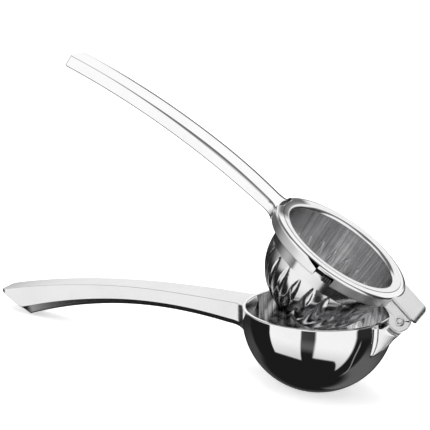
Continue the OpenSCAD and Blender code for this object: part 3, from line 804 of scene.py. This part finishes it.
def handle_landing(place):
    """The scoop in the ring's top where the upper handle's flat top runs in: a round-ended outline
    that widens on a quarter circle as it rises, as a cutter."""
    h, ring = sizes("handle"), sizes("ring")
    floor = 8.05 * MM
    plans, levels = [], []
    for a in np.linspace(0, math.pi / 2, 8):
        grow, rise = math.sin(a), 1 - math.cos(a)
        half = h.upper_w / 2 + 0.2 * MM + 3.4 * MM * grow
        end = -34.9 * MM + 0.9 * MM * grow
        plans.append(corners_rounded([(-47 * MM, -half), (end, -half), (end, half), (-47 * MM, half)],
                                     np.array([0.1, 5.4, 5.4, 0.1]) * MM, 12))
        levels.append(floor + (ring.top_z + 0.5 * MM - floor) * rise)
    grid = stacked(plans, levels)
    return cutter(np.concatenate([middle_of(grid[0])[None], grid, middle_of(grid[-1])[None]]), place)


def web_painted_shade(grid):
    """How strong the painted shade on the web around the upper handle's root is: full straight at the handle,
    and fading out on both sides by the angle from it."""
    away = np.degrees(np.arctan2(np.abs(grid[..., 1]), -grid[..., 0]))
    return WEB_PAINTED_SHADE * np.clip((WEB_END - away) / WEB_FADE, 0, 1)


def make_press_ring():
    """A band with a dished top face and a recess for the cup's lip, turned about the axis, with a
    window and a slit on each side and the scoop for the handle's top."""
    r = sizes("ring")
    seat_z = r.top_z - r.dish - r.ledge
    corners = [(r.low_r, r.low_z), (r.top_r, r.top_z - 0.6 * MM), (r.top_r - 2.4 * MM, r.top_z),
               (r.seat_r, r.top_z - 0.1 * MM), (r.seat_r, seat_z), (r.bore_r, seat_z), (r.bore_r, r.low_z)]
    profile = corners_rounded(corners, np.array([0.5, r.shoulder / MM, 0.6, 0.15, 0.1, 0.2, 0.3]) * MM, 8)
    rows = np.arange(len(profile))[:, None]
    skirt = np.clip((SKIRT_ROWS - rows) / SKIRT_TOP_FADE, 0, 1) * np.clip(rows / SKIRT_FOOT_FADE, 0, 1)
    skirt = skirt + np.zeros((1, RING_AROUND))
    grid = revolved(profile, RING_AROUND)
    # Painted shade on the ring's top face round the upper handle's root, out to a radius of 36.9 mm and only
    # near the top.
    shade = web_painted_shade(grid) * np.clip((36.9 - np.hypot(grid[..., 0], grid[..., 1]) / MM) / 1.2, 0, 1)
    shade = shade * (grid[..., 2] > r.top_z - 1.4 * MM)
    fields = {"skirt": skirt.ravel(), "web": shade.ravel()}
    obj = mesh_from("press_ring_skin", [(upper_place(grid), True)], fields)
    mark_faces(obj, 0.0)
    cutters = [handle_landing(upper_place)]
    window_edge = r.window_dir + r.window_span / 2
    slit_half = r.top_r * math.sin(r.slit_span / 2)
    slit_top = r.top_z - 0.7 * MM
    slit_turn = -(window_edge + r.slit_span / 2)
    for place in (upper_place, upper_place_far):
        cutters.append(ring_sector(r.bore_r - 1 * MM, r.top_r + 4 * MM, -window_edge,
                                   r.window_span - window_edge, r.low_z - 1 * MM, 7.7 * MM, place))
        wedge = np.array([(-slit_half, slit_top), (slit_half + 0.5 * MM, slit_top),
                          (slit_half + 0.5 * MM, slit_top - 2.4 * MM)])
        x = np.array([r.low_r - 2.6 * MM, r.low_r + 4 * MM])
        middle = np.broadcast_to(wedge.mean(axis=0), wedge.shape)
        ends = ((x[0], middle), (x[0], wedge), (x[1], wedge), (x[1], middle))
        flat = np.stack([np.column_stack([np.full(3, reach), outline]) for reach, outline in ends])
        c, s = math.cos(slit_turn), math.sin(slit_turn)
        spun = np.stack([flat[..., 0] * c - flat[..., 1] * s,
                         flat[..., 0] * s + flat[..., 1] * c, flat[..., 2]], -1)
        cutters.append(cutter(spun, place))
    # The cutters' faces carry full painted shade, so the walls that the windows, the slits and the handle's
    # scoop cut come out very dark, as if in shade.
    for dark in cutters:
        mark_faces(dark, 1.0)
    cut(obj, cutters)
    return finish_piece(obj, "upper_arm", ["press_ring"],
                        finish("Ring Polish", inner=r.skirt_rough))


def flute_share(low, a):
    """Depth of the flutes from 0 to 1, at an angle low below the middle and an angle a around.
    Each flute is a leaf: from a pointed tip its half width grows like a power of the way down to
    a fixed width, until the leaves crowd together. Its floor is nearly flat across, and falls away
    on a parabola from the tip, steepest there."""
    c = sizes("cup")
    pitch = 2 * math.pi / c.flutes
    across = np.abs(a / pitch % 1 - 0.5) * 2
    reach = np.degrees(low)
    wide = c.flute_w / (c.radius * pitch * np.maximum(np.cos(low), 0.05))
    half = np.minimum(wide, 0.9) * np.clip(reach / 14, 0, 1) ** 0.6
    floor = np.clip(1 - (across / np.maximum(half, 1e-6)) ** 2, 0, 1)
    fade = 1 - (1 - np.clip(reach / 12, 0, 1)) ** 2
    return floor * fade * np.clip((86 - reach) / 30, 0, 1)


def fluted_ball(radius, lows, around, depth):
    """A ball's lower part: at an angle low below its middle and an angle a around, the radius is
    the ball's, less the flutes' depth there."""
    c = sizes("cup")
    a = (np.arange(around) + 0.5) * 2 * math.pi / around
    low = lows[:, None]
    r = radius - depth * flute_share(low, a[None, :])
    out = r * np.cos(low)
    return np.stack([out * np.cos(a), out * np.sin(a), c.centre_z - r * np.sin(low)], axis=-1)


def make_press_cup():
    """A fluted ball's lower half with an upright neck and a rolled lip, and the same flutes as
    ribs inside, all one skin from the outer pole over the lip to the inner pole."""
    c, ring = sizes("cup"), sizes("ring")
    around = 16 * c.flutes
    turn = (np.arange(around) + 0.5) * 2 * math.pi / around
    lows = np.radians(np.concatenate([np.linspace(90, 60, 18)[:-1], np.linspace(60, 20, 34)[:-1],
                                      np.linspace(20, 0, 28)]))
    outside = fluted_ball(c.radius, lows, around, c.flute_depth)
    inner = c.neck_r - c.neck_wall
    low_lip = ring.top_z - ring.dish - ring.ledge + 0.1 * MM
    corners = [(c.radius, c.centre_z), (c.neck_r, c.centre_z + 6 * MM), (c.neck_r, ring.low_z),
               (c.neck_r, low_lip), (c.lip_r, low_lip), (c.lip_r, c.lip_top),
               (inner + 0.05 * MM, c.lip_top), (inner, ring.low_z), (c.radius - c.wall, c.centre_z)]
    radii = np.array([0, 14, 0, 0.2, 0.2, 0.15, 2.9, 6, 0]) * MM
    upright = corners_rounded(corners, radii, 10)[12:-12]
    neck = np.stack([upright[:, 0][:, None] * np.cos(turn), upright[:, 0][:, None] * np.sin(turn),
                     np.broadcast_to(upright[:, 1][:, None], (len(upright), around))], axis=-1)
    inside = fluted_ball(c.radius - c.wall, lows[::-1], around, RIB_GAIN * c.flute_depth)
    grid = np.concatenate([outside, neck, inside])
    fields = brush_fields(len(grid), around, c.radius, len(outside) + len(neck) - 16, 6.0)
    # Along the ribs' outlines inside the cup the painted streaky reflection and the inner roughness fall
    # away, which paints the outlines as bright, polished lines.
    share = flute_share(lows[::-1][:, None], turn[None, :])
    outlines = np.concatenate([np.zeros((len(grid) - len(share), around)), 4 * share * (1 - share)])
    fields["inner_wall"] = fields["inner_wall"] * (1 - 0.95 * outlines.ravel())
    # Painted shade on the cup: the neck behind each window, and the outer lip round the upper handle's root,
    # are marked to turn very dark.
    off = (np.degrees(turn) + math.degrees(ring.window_dir) + 90) % 180 - 90
    rows = np.arange(len(grid))[:, None]
    half = math.degrees(ring.window_span) / 2
    hidden = (rows > len(outside) - 1) & (rows < len(outside) + 36)
    hidden = hidden & (grid[..., 2] > ring.low_z - 0.05 * MM) & (np.abs(off) < half + 1.5)
    outer_lip = np.clip((np.hypot(grid[..., 0], grid[..., 1]) / MM - 30.8) / 0.8, 0, 1)
    fields["blackened"] = np.maximum(hidden, outer_lip * web_painted_shade(grid)).ravel()
    obj = mesh_from("press_cup_skin", [(upper_place(grid), False)], fields)
    return finish_piece(obj, "press_cup", ["press_cup"], finish("Cup Polish"), sharp=40)


def make_tab(name, place):
    """A grip tab: a block from the neck to just inside the ring's wall, whose outer face carries
    upright half-round ribs, with its upper and lower edges eased."""
    c, r = sizes("cup"), sizes("ring")
    gap = 0.3 * MM
    first = -(r.window_dir - r.window_span / 2) - gap / r.bore_r
    span, ribs, rib = math.radians(7.3), 4, 0.6 * MM
    a = np.linspace(first - span, first, 12 * ribs + 1)
    outer = r.low_r - rib + rib * np.abs(np.sin((a - a[0]) / span * ribs * math.pi)) ** 0.7
    inner = np.full(9, c.neck_r - 0.2 * MM)
    turn = np.concatenate([a, np.linspace(first, first - span, 9)])
    reach = np.concatenate([outer, inner])
    outline = np.stack([reach * np.cos(turn), reach * np.sin(turn)], axis=-1)
    middle = outline.mean(axis=0)
    low, high = r.low_z + gap, r.top_z - r.dish - r.ledge - 0.9 * MM
    ease = 0.25 * MM
    levels = [(0.0, low), (0.93, low), (0.98, low + 0.3 * ease), (1.0, low + ease), (1.0, high - ease),
              (0.98, high - 0.3 * ease), (0.93, high), (0.0, high)]
    grid = stacked([middle + (outline - middle) * share for share, _ in levels], [z for _, z in levels])
    obj = mesh_from(name + "_skin", [(place(grid), False)])
    return finish_piece(obj, "press_cup", [name], finish("Tab Grip"))


# Finishes --------------------------------------------------------------------------------------

# For each material: its colour, its roughness, what smudges and hairlines add to that, and
# whatever else differs from plain steel
FINISHES = {
    # The bowl's and the cup's inner walls get a painted reflection: a darker, streaky tint along the
    # polishing lines.
    "Bowl Polish": ("bowl", 0.035, 0.03, 0.02, {"inner": 0.10, "brushed": True, "line_scale": 700.0,
                                                "stretch": 1.0, "painted_streak_tint": 0.45}),
    "Cup Polish": ("cup", 0.14, 0.03, 0.03, {"inner": 0.21, "brushed": True, "line_scale": 1100.0,
                                             "stretch": 1.0, "painted_streak_tint": 0.6, "black": True}),
    # The tabs' dark colour is partly painted shade from their windows.
    "Tab Grip": ("tab", 0.28, 0.05, 0.05, {}),
    "Bracket Polish": ("ring", 0.14, 0.03, 0.04, {}),
    "Ear Satin": ("plate", 0.24, 0.03, 0.05, {}),
    "Tail Satin": ("plate", 0.24, 0.03, 0.05, {}),
    "Ring Polish": ("ring", 0.10, 0.03, 0.04, {"share": "skirt", "black": True}),
    "Upper Handle Polish": ("handle", 0.06, 0.02, 0.02, {"stretch": 60.0}),
    "Lower Handle Satin": ("satin", 0.22, 0.02, 0.04, {"line_scale": 3000.0, "stretch": 80.0}),
    "Rivet Steel": ("hardware", 0.2, 0.04, 0.06, {"stretch": 3.0}),
}
# How much of the painted highlight on sharp edges shows, and what smudges and that painted highlight do to
# the colour
EDGE_HIGHLIGHT, SMUDGED, EDGE_BRIGHTENING = 0.4, 0.95, 1.06
# Colour of the painted shade, and what the painted shade adds to the roughness
PAINTED_SHADE_COLOUR, PAINTED_SHADE_ROUGH = (0.02, 0.02, 0.021, 1), 0.3
# Depth of the hairlines' bump in metres, and how rough every noise is
HAIRLINE_DEPTH, NOISE_ROUGHNESS = 0.00002, 0.55


def new_group(name, inputs, outputs):
    """An empty shader node group with named sockets, and its input and output nodes."""
    group = bpy.data.node_groups.new(name, "ShaderNodeTree")
    for label, kind, value in inputs:
        socket = group.interface.new_socket(name=label, in_out="INPUT", socket_type=kind)
        socket.default_value = value
    for label, kind in outputs:
        group.interface.new_socket(name=label, in_out="OUTPUT", socket_type=kind)
    return group, group.nodes.new("NodeGroupInput"), group.nodes.new("NodeGroupOutput")


def node(tree, kind, links=None, **settings):
    """A node with its settings, and links or values for its input sockets."""
    made = tree.nodes.new(kind)
    for key, value in settings.items():
        setattr(made, key, value)
    for socket, value in (links or {}).items():
        if isinstance(value, bpy.types.NodeSocket):
            tree.links.new(value, made.inputs[socket])
        else:
            made.inputs[socket].default_value = value
    return made


def noise(tree, vector, scale, detail=3.0):
    """Noise texture's value on a vector."""
    links = {"Vector": vector, "Scale": scale, "Detail": detail, "Roughness": NOISE_ROUGHNESS}
    return node(tree, "ShaderNodeTexNoise", links).outputs["Fac"]


def remap(tree, value, low, high, to_low, to_high):
    """A value moved from one range to another, and kept inside it."""
    links = {"Value": value, "From Min": low, "From Max": high, "To Min": to_low, "To Max": to_high}
    return node(tree, "ShaderNodeMapRange", links).outputs["Result"]


def maths(tree, operation, *values):
    """One step of arithmetic."""
    return node(tree, "ShaderNodeMath", dict(enumerate(values)), operation=operation).outputs[0]


def mix_colour(tree, share, first, second):
    """The first colour where the share is 0, and the second where it is 1."""
    return node(tree, "ShaderNodeMix", {0: share, 6: first, 7: second}, data_type="RGBA").outputs[2]


def hairline_group():
    """Fine polishing lines: noise that changes slowly along one way, as a height and a mask. The
    slow way is X for a vector in metres, divided by the stretch."""
    name = "Hairlines"
    if name in bpy.data.node_groups:
        return bpy.data.node_groups[name]
    group, source, sink = new_group(name, [("Vector", "NodeSocketVector", (0, 0, 0)),
                                           ("Stretch", "NodeSocketFloat", 30.0),
                                           ("Scale", "NodeSocketFloat", 4000.0)],
                                    [("Height", "NodeSocketFloat"), ("Mask", "NodeSocketFloat")])
    parts = node(group, "ShaderNodeSeparateXYZ", {0: source.outputs["Vector"]})
    along = maths(group, "DIVIDE", parts.outputs["X"], source.outputs["Stretch"])
    vector = node(group, "ShaderNodeCombineXYZ",
                  {"X": along, "Y": parts.outputs["Y"], "Z": parts.outputs["Z"]})
    fine = noise(group, vector.outputs[0], source.outputs["Scale"], 2.0)
    group.links.new(fine, sink.inputs["Height"])
    group.links.new(remap(group, fine, 0.62, 0.72, 0.0, 1.0), sink.inputs["Mask"])
    return group


def handling_group():
    """Faint smudges from hands: soft patches broken up by finer ones, as a mask."""
    name = "Handling"
    if name in bpy.data.node_groups:
        return bpy.data.node_groups[name]
    group, source, sink = new_group(name, [("Vector", "NodeSocketVector", (0, 0, 0)),
                                           ("Scale", "NodeSocketFloat", 60.0)], [("Mask", "NodeSocketFloat")])
    patches = noise(group, source.outputs["Vector"], source.outputs["Scale"], 3.0)
    finer = maths(group, "MULTIPLY", source.outputs["Scale"], 14.0)
    fine = noise(group, source.outputs["Vector"], finer, 4.0)
    soft = remap(group, patches, 0.42, 0.68, 0.0, 1.0)
    broken = remap(group, fine, 0.35, 0.65, 0.3, 1.0)
    group.links.new(maths(group, "MULTIPLY", soft, broken), sink.inputs["Mask"])
    return group


def edge_highlight_group():
    """Painted highlight on sharp edges: brighter where the surface's pointiness is high, broken up by noise.
    """
    name = "Edge Wear"
    if name in bpy.data.node_groups:
        return bpy.data.node_groups[name]
    group, source, sink = new_group(name, [("Vector", "NodeSocketVector", (0, 0, 0)),
                                           ("Amount", "NodeSocketFloat", 1.0)], [("Mask", "NodeSocketFloat")])
    pointed = node(group, "ShaderNodeNewGeometry").outputs["Pointiness"]
    edges = remap(group, pointed, 0.52, 0.62, 0.0, 1.0)
    broken = remap(group, noise(group, source.outputs["Vector"], 900.0), 0.35, 0.6, 0.2, 1.0)
    edge_lit = maths(group, "MULTIPLY", edges, broken)
    group.links.new(maths(group, "MULTIPLY", edge_lit, source.outputs["Amount"]), sink.inputs["Mask"])
    return group


def steel(name, tint, roughness, smudge, lines, inner=None, brushed=False, line_scale=4000.0,
          stretch=30.0, share="inner_wall", painted_streak_tint=1.0, black=False):
    """Bare polished steel. Its roughness rises in smudges and on hairlines, its colour dulls
    slightly in smudges and brightens in a painted highlight on sharp edges, and hairlines give a very low
    bump. A turned piece takes its hairlines from its brush field. inner is the roughness where the field
    named by share is 1, with a darker, streaky painted reflection of the inner tint along the polishing lines
    there, and the last flag paints very dark shade on the faces marked for painted shade."""
    if name in bpy.data.materials:
        return bpy.data.materials[name]
    material = bpy.data.materials.new(name)
    material.use_nodes = True
    tree = material.node_tree
    shader = tree.nodes["Principled BSDF"]
    place = node(tree, "ShaderNodeTexCoord").outputs["Object"]
    hair = node(tree, "ShaderNodeGroup", node_tree=hairline_group())
    hand = node(tree, "ShaderNodeGroup", node_tree=handling_group())
    edge_lit = node(tree, "ShaderNodeGroup", node_tree=edge_highlight_group())
    for part in (hair, hand, edge_lit):
        tree.links.new(place, part.inputs["Vector"])
    if brushed:
        field = node(tree, "ShaderNodeAttribute", attribute_name="brush")
        tree.links.new(field.outputs["Vector"], hair.inputs["Vector"])
    hair.inputs["Stretch"].default_value = stretch
    hair.inputs["Scale"].default_value = line_scale
    edge_lit.inputs["Amount"].default_value = EDGE_HIGHLIGHT
    shown = mix_colour(tree, hand.outputs["Mask"], (*tint, 1), (*[SMUDGED * value for value in tint], 1))
    # Painted highlight: sharp edges brighten the colour.
    shown = mix_colour(tree, edge_lit.outputs["Mask"], shown, (*[min(1.0, EDGE_BRIGHTENING * value) for value in tint], 1))
    smeared = maths(tree, "MULTIPLY_ADD", hand.outputs["Mask"], smudge, roughness)
    scored = maths(tree, "MULTIPLY_ADD", hair.outputs["Mask"], lines, smeared)
    if inner is not None:
        wall = node(tree, "ShaderNodeAttribute", attribute_name=share).outputs["Fac"]
        scored = maths(tree, "MULTIPLY_ADD", wall, inner - roughness, scored)
        # Painted reflection: a darker, streaky tint along the polishing lines on the inner wall.
        painted_streaks = maths(tree, "MULTIPLY", wall, remap(tree, hair.outputs["Height"], 0.35, 0.68, 1.0, 0.0))
        shown = mix_colour(tree, painted_streaks, shown, (*[painted_streak_tint * value for value in tint], 1))
    # Painted shade: the faces marked for it, and the web round the upper handle's root, turn very dark and
    # rougher.
    if black:
        cover = node(tree, "ShaderNodeAttribute", attribute_name="blackened").outputs["Fac"]
        web = node(tree, "ShaderNodeAttribute", attribute_name="web").outputs["Fac"]
        cover = maths(tree, "MAXIMUM", cover, web)
        scored = maths(tree, "MULTIPLY_ADD", cover, PAINTED_SHADE_ROUGH, scored)
        shown = mix_colour(tree, cover, shown, PAINTED_SHADE_COLOUR)
    tree.links.new(shown, shader.inputs["Base Color"])
    tree.links.new(scored, shader.inputs["Roughness"])
    bump = node(tree, "ShaderNodeBump", {"Height": hair.outputs["Height"], "Strength": 0.02 + 0.5 * lines,
                                         "Distance": HAIRLINE_DEPTH})
    tree.links.new(bump.outputs["Normal"], shader.inputs["Normal"])
    shader.inputs["Metallic"].default_value = 1.0
    return material


def finish(name, **more):
    """The material of that name, made from its line in FINISHES."""
    tint, roughness, smudge, lines, settings = FINISHES[name]
    return steel(name, getattr(sizes("finish"), tint), roughness, smudge, lines, **settings, **more)


# Stage -----------------------------------------------------------------------------------------

# Radius and thickness of the floor in metres, and how much brighter a camera ray sees it
FLOOR_R, FLOOR_T, FLOOR_GLOW = 6.0, 0.02, 0.45
# The studio's panels, in the order in which they are added: which direction and height they
# are measured in, their two sides, their lower and upper edges, how soft the sides are, their
# strength, and whether they are dimmer towards the floor. All angles are in degrees.
PANELS = (
    ("turn", "low_left", (-58, -5.5), (-55.5, -53.0), (35, 75), 1.2, 1.0, True),
    ("turn", "low_right", (16.5, 77), (-48.5, -45.0), (25, 65), 2.4, 1.0, True),
    ("turn", "rise", (-5, 16), (-42, -30), (-30, -10), 1.5, 0.10, False),
    ("turn", "rise", (-86, -40), (-17, -8), (40, 60), 26.0, 0.75, False),
    ("turn", "rise", (-7, 18), (-10, 0), (25, 60), 3.0, 0.9, False),
    ("rear", "rise", (-2, 58), (9, 12.5), (56, 66), 5.0, 1.0, False),
    ("rear", "lifted", (-60, -2), (-4, 2), (34, 48), 5.0, 0.85, False),
    ("turn", "rise", (104, 200), (-64, -52), (-40, -16), 4.0, 0.11, False),
    ("turn", "rise", (-200, -106), (-52, -40), (-36, -18), 4.0, 0.05, False),
    ("bent", "rise", (85.5, 87.5), (-66, -56), (-24, -14), 0.9, 0.30, False),
)


def make_floor():
    """A wide pale disc under the press. A camera ray sees it a little brighter, which brings the
    open floor up to white and leaves the shadow on it. Reflections look through it at the studio."""
    ring = circle(np.arange(96) * 2 * math.pi / 96, FLOOR_R)
    top, bottom = worktop_z(), worktop_z() - FLOOR_T
    grid = stacked([ring * 0, ring, ring, ring * 0], (top, top, bottom, bottom))
    disc = mesh_from("floor", [(grid, False)])
    material = bpy.data.materials.new("Floor")
    material.use_nodes = True
    tree = material.node_tree
    shader = tree.nodes["Principled BSDF"]
    shader.inputs["Base Color"].default_value = (*sizes("finish").floor, 1)
    shader.inputs["Roughness"].default_value = 0.9
    shader.inputs["Specular IOR Level"].default_value = 0.0
    path = node(tree, "ShaderNodeLightPath")
    seen = maths(tree, "MULTIPLY", path.outputs["Is Camera Ray"], FLOOR_GLOW)
    glow = node(tree, "ShaderNodeEmission", {"Color": (1, 1, 1, 1), "Strength": seen})
    lit = node(tree, "ShaderNodeAddShader", {0: shader.outputs[0], 1: glow.outputs[0]})
    clear = node(tree, "ShaderNodeBsdfTransparent")
    both = node(tree, "ShaderNodeMixShader", {0: path.outputs["Is Glossy Ray"], 1: lit.outputs[0],
                                              2: clear.outputs[0]})
    tree.links.new(both.outputs[0], tree.nodes["Material Output"].inputs["Surface"])
    disc.data.materials.append(material)


def smooth_step(tree, value, low, high):
    """A smooth rise from 0 at low to 1 at high, or a fall where high is the smaller."""
    links = {"Value": value, "From Min": low, "From Max": high}
    return node(tree, "ShaderNodeMapRange", links, interpolation_type="SMOOTHSTEP").outputs["Result"]


def panel(tree, turn, rise, sides, floor_edge, top_edge, soft):
    """Brightness of a studio panel from 0 to 1: it lies between two directions around the press
    and between two heights above the horizon, in degrees, with soft edges."""
    share = maths(tree, "MULTIPLY", smooth_step(tree, turn, sides[0] - soft, sides[0] + soft),
                  smooth_step(tree, turn, sides[1] + soft, sides[1] - soft))
    share = maths(tree, "MULTIPLY", share, smooth_step(tree, rise, floor_edge[0], floor_edge[1]))
    return maths(tree, "MULTIPLY", share, smooth_step(tree, rise, top_edge[1], top_edge[0]))


def studio_light(tree):
    """The studio that the steel reflects: a dark room with two tall soft panels in front, pale
    walls behind, a dim ceiling and a narrow strip lamp on the hinge side. The directions are
    turn = atan2(x, -y) from the front and rear = atan2(x, y) from behind, the height is
    rise = asin(z), and the other names are turns and heights with a lean or a step added."""
    way = node(tree, "ShaderNodeTexCoord").outputs["Generated"]
    parts = node(tree, "ShaderNodeSeparateXYZ", {0: way})
    front = maths(tree, "MULTIPLY", parts.outputs["Y"], -1.0)
    turn = maths(tree, "DEGREES", maths(tree, "ARCTAN2", parts.outputs["X"], front))
    rear = maths(tree, "DEGREES", maths(tree, "ARCTAN2", parts.outputs["X"], parts.outputs["Y"]))
    rise = maths(tree, "DEGREES", maths(tree, "ARCSINE", parts.outputs["Z"]))
    curve = maths(tree, "POWER", smooth_step(tree, rise, -24.0, -66.0), 2.0)
    turns = {"turn": turn, "rear": rear, "bent": maths(tree, "MULTIPLY_ADD", curve, -26.0, turn)}
    rises = {"rise": rise,
             "low_left": maths(tree, "MULTIPLY_ADD", turn, 0.13, rise),
             "low_right": maths(tree, "MULTIPLY_ADD", smooth_step(tree, turn, 54.0, 80.0), 14.0, rise),
             "lifted": maths(tree, "MULTIPLY_ADD", smooth_step(tree, rear, -24.0, -14.0), -12.0, rise)}
    shaded = maths(tree, "MULTIPLY_ADD", smooth_step(tree, rise, -62.0, -20.0), 0.42, 0.6)
    total = maths(tree, "MULTIPLY_ADD", smooth_step(tree, rise, -20.0, 25.0), 0.13, 0.012)
    for across, height, sides, floor_edge, top_edge, soft, strength, dimmed in PANELS:
        share = panel(tree, turns[across], rises[height], sides, floor_edge, top_edge, soft)
        if dimmed:
            share = maths(tree, "MULTIPLY", share, shaded)
        total = maths(tree, "MULTIPLY_ADD", share, strength, total)
    return maths(tree, "MINIMUM", total, 1.0)


def make_world():
    """White surroundings: strength 1 for the camera, the studio for reflections, and a plain level
    of light on the object."""
    world = bpy.data.worlds.new("White Studio")
    bpy.context.scene.world = world
    world.use_nodes = True
    tree = world.node_tree
    path = node(tree, "ShaderNodeLightPath")
    open_view = maths(tree, "MAXIMUM", path.outputs["Is Camera Ray"], path.outputs["Is Transmission Ray"])
    plain = remap(tree, open_view, 0.0, 1.0, sizes("stage").sky, 1.0)
    strength = node(tree, "ShaderNodeMix",
                    {0: path.outputs["Is Glossy Ray"], 2: plain, 3: studio_light(tree)})
    tree.links.new(strength.outputs[0], tree.nodes["Background"].inputs["Strength"])
    tree.nodes["Background"].inputs["Color"].default_value = (1, 1, 1, 1)


def make_lamp(name, size, position, target, power):
    """A square soft lamp that faces a point. It lights the floor, and reflections show the panels."""
    lamp = bpy.data.lights.new(name, "AREA")
    lamp.shape = "SQUARE"
    lamp.size = size
    lamp.energy = power
    obj = bpy.data.objects.new(name, lamp)
    bpy.context.scene.collection.objects.link(obj)
    obj.location = position
    obj.rotation_euler = (Vector(target) - Vector(position)).to_track_quat("-Z", "Y").to_euler()
    obj.visible_camera = False
    obj.visible_glossy = False


def make_lamps():
    """A large soft lamp overhead and a smaller one from the front left."""
    middle = Vector((-0.08, 0.0, 0.0))
    power = sizes("stage").lamps
    make_lamp("overhead", 1.2, (-0.2, -0.1, 1.3), middle, 9.0 * power)
    make_lamp("front_left", 0.7, (-0.9, -1.1, 0.8), middle, 5.0 * power)


def make_camera():
    """The camera stands at a distance, azimuth and elevation from the bowl's rim, aims beside and
    above it, and rolls slightly. All of that is in the closed position's frame."""
    s = sizes("stage")
    back = Vector((math.sin(s.azimuth) * math.cos(s.elevation), -math.cos(s.azimuth) * math.cos(s.elevation),
                   math.sin(s.elevation)))
    right = Vector((math.cos(s.azimuth), math.sin(s.azimuth), 0))
    target = right * s.aim_right + right.cross(-back) * s.aim_up
    eye = back * s.distance
    ahead = (target - eye).normalized()
    right = ahead.cross(Vector((0, 0, 1))).normalized()
    up = right.cross(ahead)
    rolled = right * math.cos(s.roll) + up * math.sin(s.roll)
    up = up * math.cos(s.roll) - right * math.sin(s.roll)
    spots = lower_place(np.array([eye, eye + rolled, eye + up, eye - ahead]))
    place, axes = Vector(spots[0]), [Vector(spot - spots[0]) for spot in spots[1:]]
    lens = bpy.data.cameras.new("camera")
    lens.lens = s.lens
    lens.sensor_width = 36.0
    lens.clip_start, lens.clip_end = 0.05, 20.0
    camera = bpy.data.objects.new("camera", lens)
    bpy.context.scene.collection.objects.link(camera)
    camera.matrix_world = Matrix.Translation(place) @ Matrix(axes).transposed().to_4x4()
    bpy.context.scene.camera = camera


# Operators -------------------------------------------------------------------------------------

class PRESS_OT_stage(bpy.types.Operator):
    """Build the pale floor, the white surroundings, the soft lamps and the camera"""
    bl_idname = "press.stage"
    bl_label = "Stage"

    def execute(self, context):
        context.scene.view_settings.view_transform = "Standard"
        make_world()
        make_floor()
        make_lamps()
        make_camera()
        return {"FINISHED"}


class PRESS_OT_lower_bowl(bpy.types.Operator):
    """Build the deep polished bowl with its drain holes"""
    bl_idname = "press.lower_bowl"
    bl_label = "Lower Bowl"

    def execute(self, context):
        make_lower_bowl()
        return {"FINISHED"}


class PRESS_OT_lower_handle(bpy.types.Operator):
    """Build the lower handle with its chamfers and slanting end"""
    bl_idname = "press.lower_handle"
    bl_label = "Lower Handle"

    def execute(self, context):
        make_lower_handle()
        return {"FINISHED"}


class PRESS_OT_hinge_bracket(bpy.types.Operator):
    """Build the bracket and knuckle on the bowl"""
    bl_idname = "press.hinge_bracket"
    bl_label = "Hinge Bracket"

    def execute(self, context):
        make_hinge_bracket()
        return {"FINISHED"}


class PRESS_OT_hinge_ears(bpy.types.Operator):
    """Build the two ears, the hollow rivet and its washers"""
    bl_idname = "press.hinge_ears"
    bl_label = "Ears and Rivet"

    def execute(self, context):
        for name, washer, side in (("ear_near", "washer_near", -1), ("ear_far", "washer_far", 1)):
            make_ear(name, side)
            make_washer(washer, side)
        make_rivet()
        return {"FINISHED"}


class PRESS_OT_tail_plate(bpy.types.Operator):
    """Build the drooping plate over the hinge"""
    bl_idname = "press.tail_plate"
    bl_label = "Tail Plate"

    def execute(self, context):
        make_tail_plate()
        return {"FINISHED"}


class PRESS_OT_press_ring(bpy.types.Operator):
    """Build the ring with its windows and slits"""
    bl_idname = "press.press_ring"
    bl_label = "Press Ring"

    def execute(self, context):
        make_press_ring()
        return {"FINISHED"}


class PRESS_OT_upper_handle(bpy.types.Operator):
    """Build the upper handle"""
    bl_idname = "press.upper_handle"
    bl_label = "Upper Handle"

    def execute(self, context):
        make_upper_handle()
        return {"FINISHED"}


class PRESS_OT_press_cup(bpy.types.Operator):
    """Build the fluted cup and its two grip tabs"""
    bl_idname = "press.press_cup"
    bl_label = "Press Cup"

    def execute(self, context):
        make_press_cup()
        make_tab("cup_tab_near", upper_place)
        make_tab("cup_tab_far", upper_place_far)
        return {"FINISHED"}


BUILD_ORDER = (PRESS_OT_lower_bowl, PRESS_OT_lower_handle, PRESS_OT_hinge_bracket, PRESS_OT_press_ring,
               PRESS_OT_upper_handle, PRESS_OT_tail_plate, PRESS_OT_hinge_ears, PRESS_OT_press_cup,
               PRESS_OT_stage)


class PRESS_PT_panel(bpy.types.Panel):
    """Lists the press's sizes and the steps that build it"""
    bl_idname = "PRESS_PT_panel"
    bl_label = "Citrus Press"
    bl_space_type = "VIEW_3D"
    bl_region_type = "UI"
    bl_category = "Citrus Press"

    def draw(self, context):
        for step in BUILD_ORDER:
            self.layout.operator(step.bl_idname)
        for name, group in GROUPS.items():
            box = self.layout.box()
            box.label(text=name.title())
            for prop in group.__annotations__:
                box.prop(getattr(context.scene, "press_" + name), prop)


CLASSES = (*GROUPS.values(), *BUILD_ORDER, PRESS_PT_panel)


def register():
    for cls in CLASSES:
        bpy.utils.register_class(cls)
    for name, group in GROUPS.items():
        setattr(bpy.types.Scene, "press_" + name, PointerProperty(type=group))


def unregister():
    for name in GROUPS:
        delattr(bpy.types.Scene, "press_" + name)
    for cls in reversed(CLASSES):
        bpy.utils.unregister_class(cls)


def main():
    register()
    for step in BUILD_ORDER:
        group, call = step.bl_idname.split(".")
        getattr(getattr(bpy.ops, group), call)()


if __name__ == "__main__":
    main()
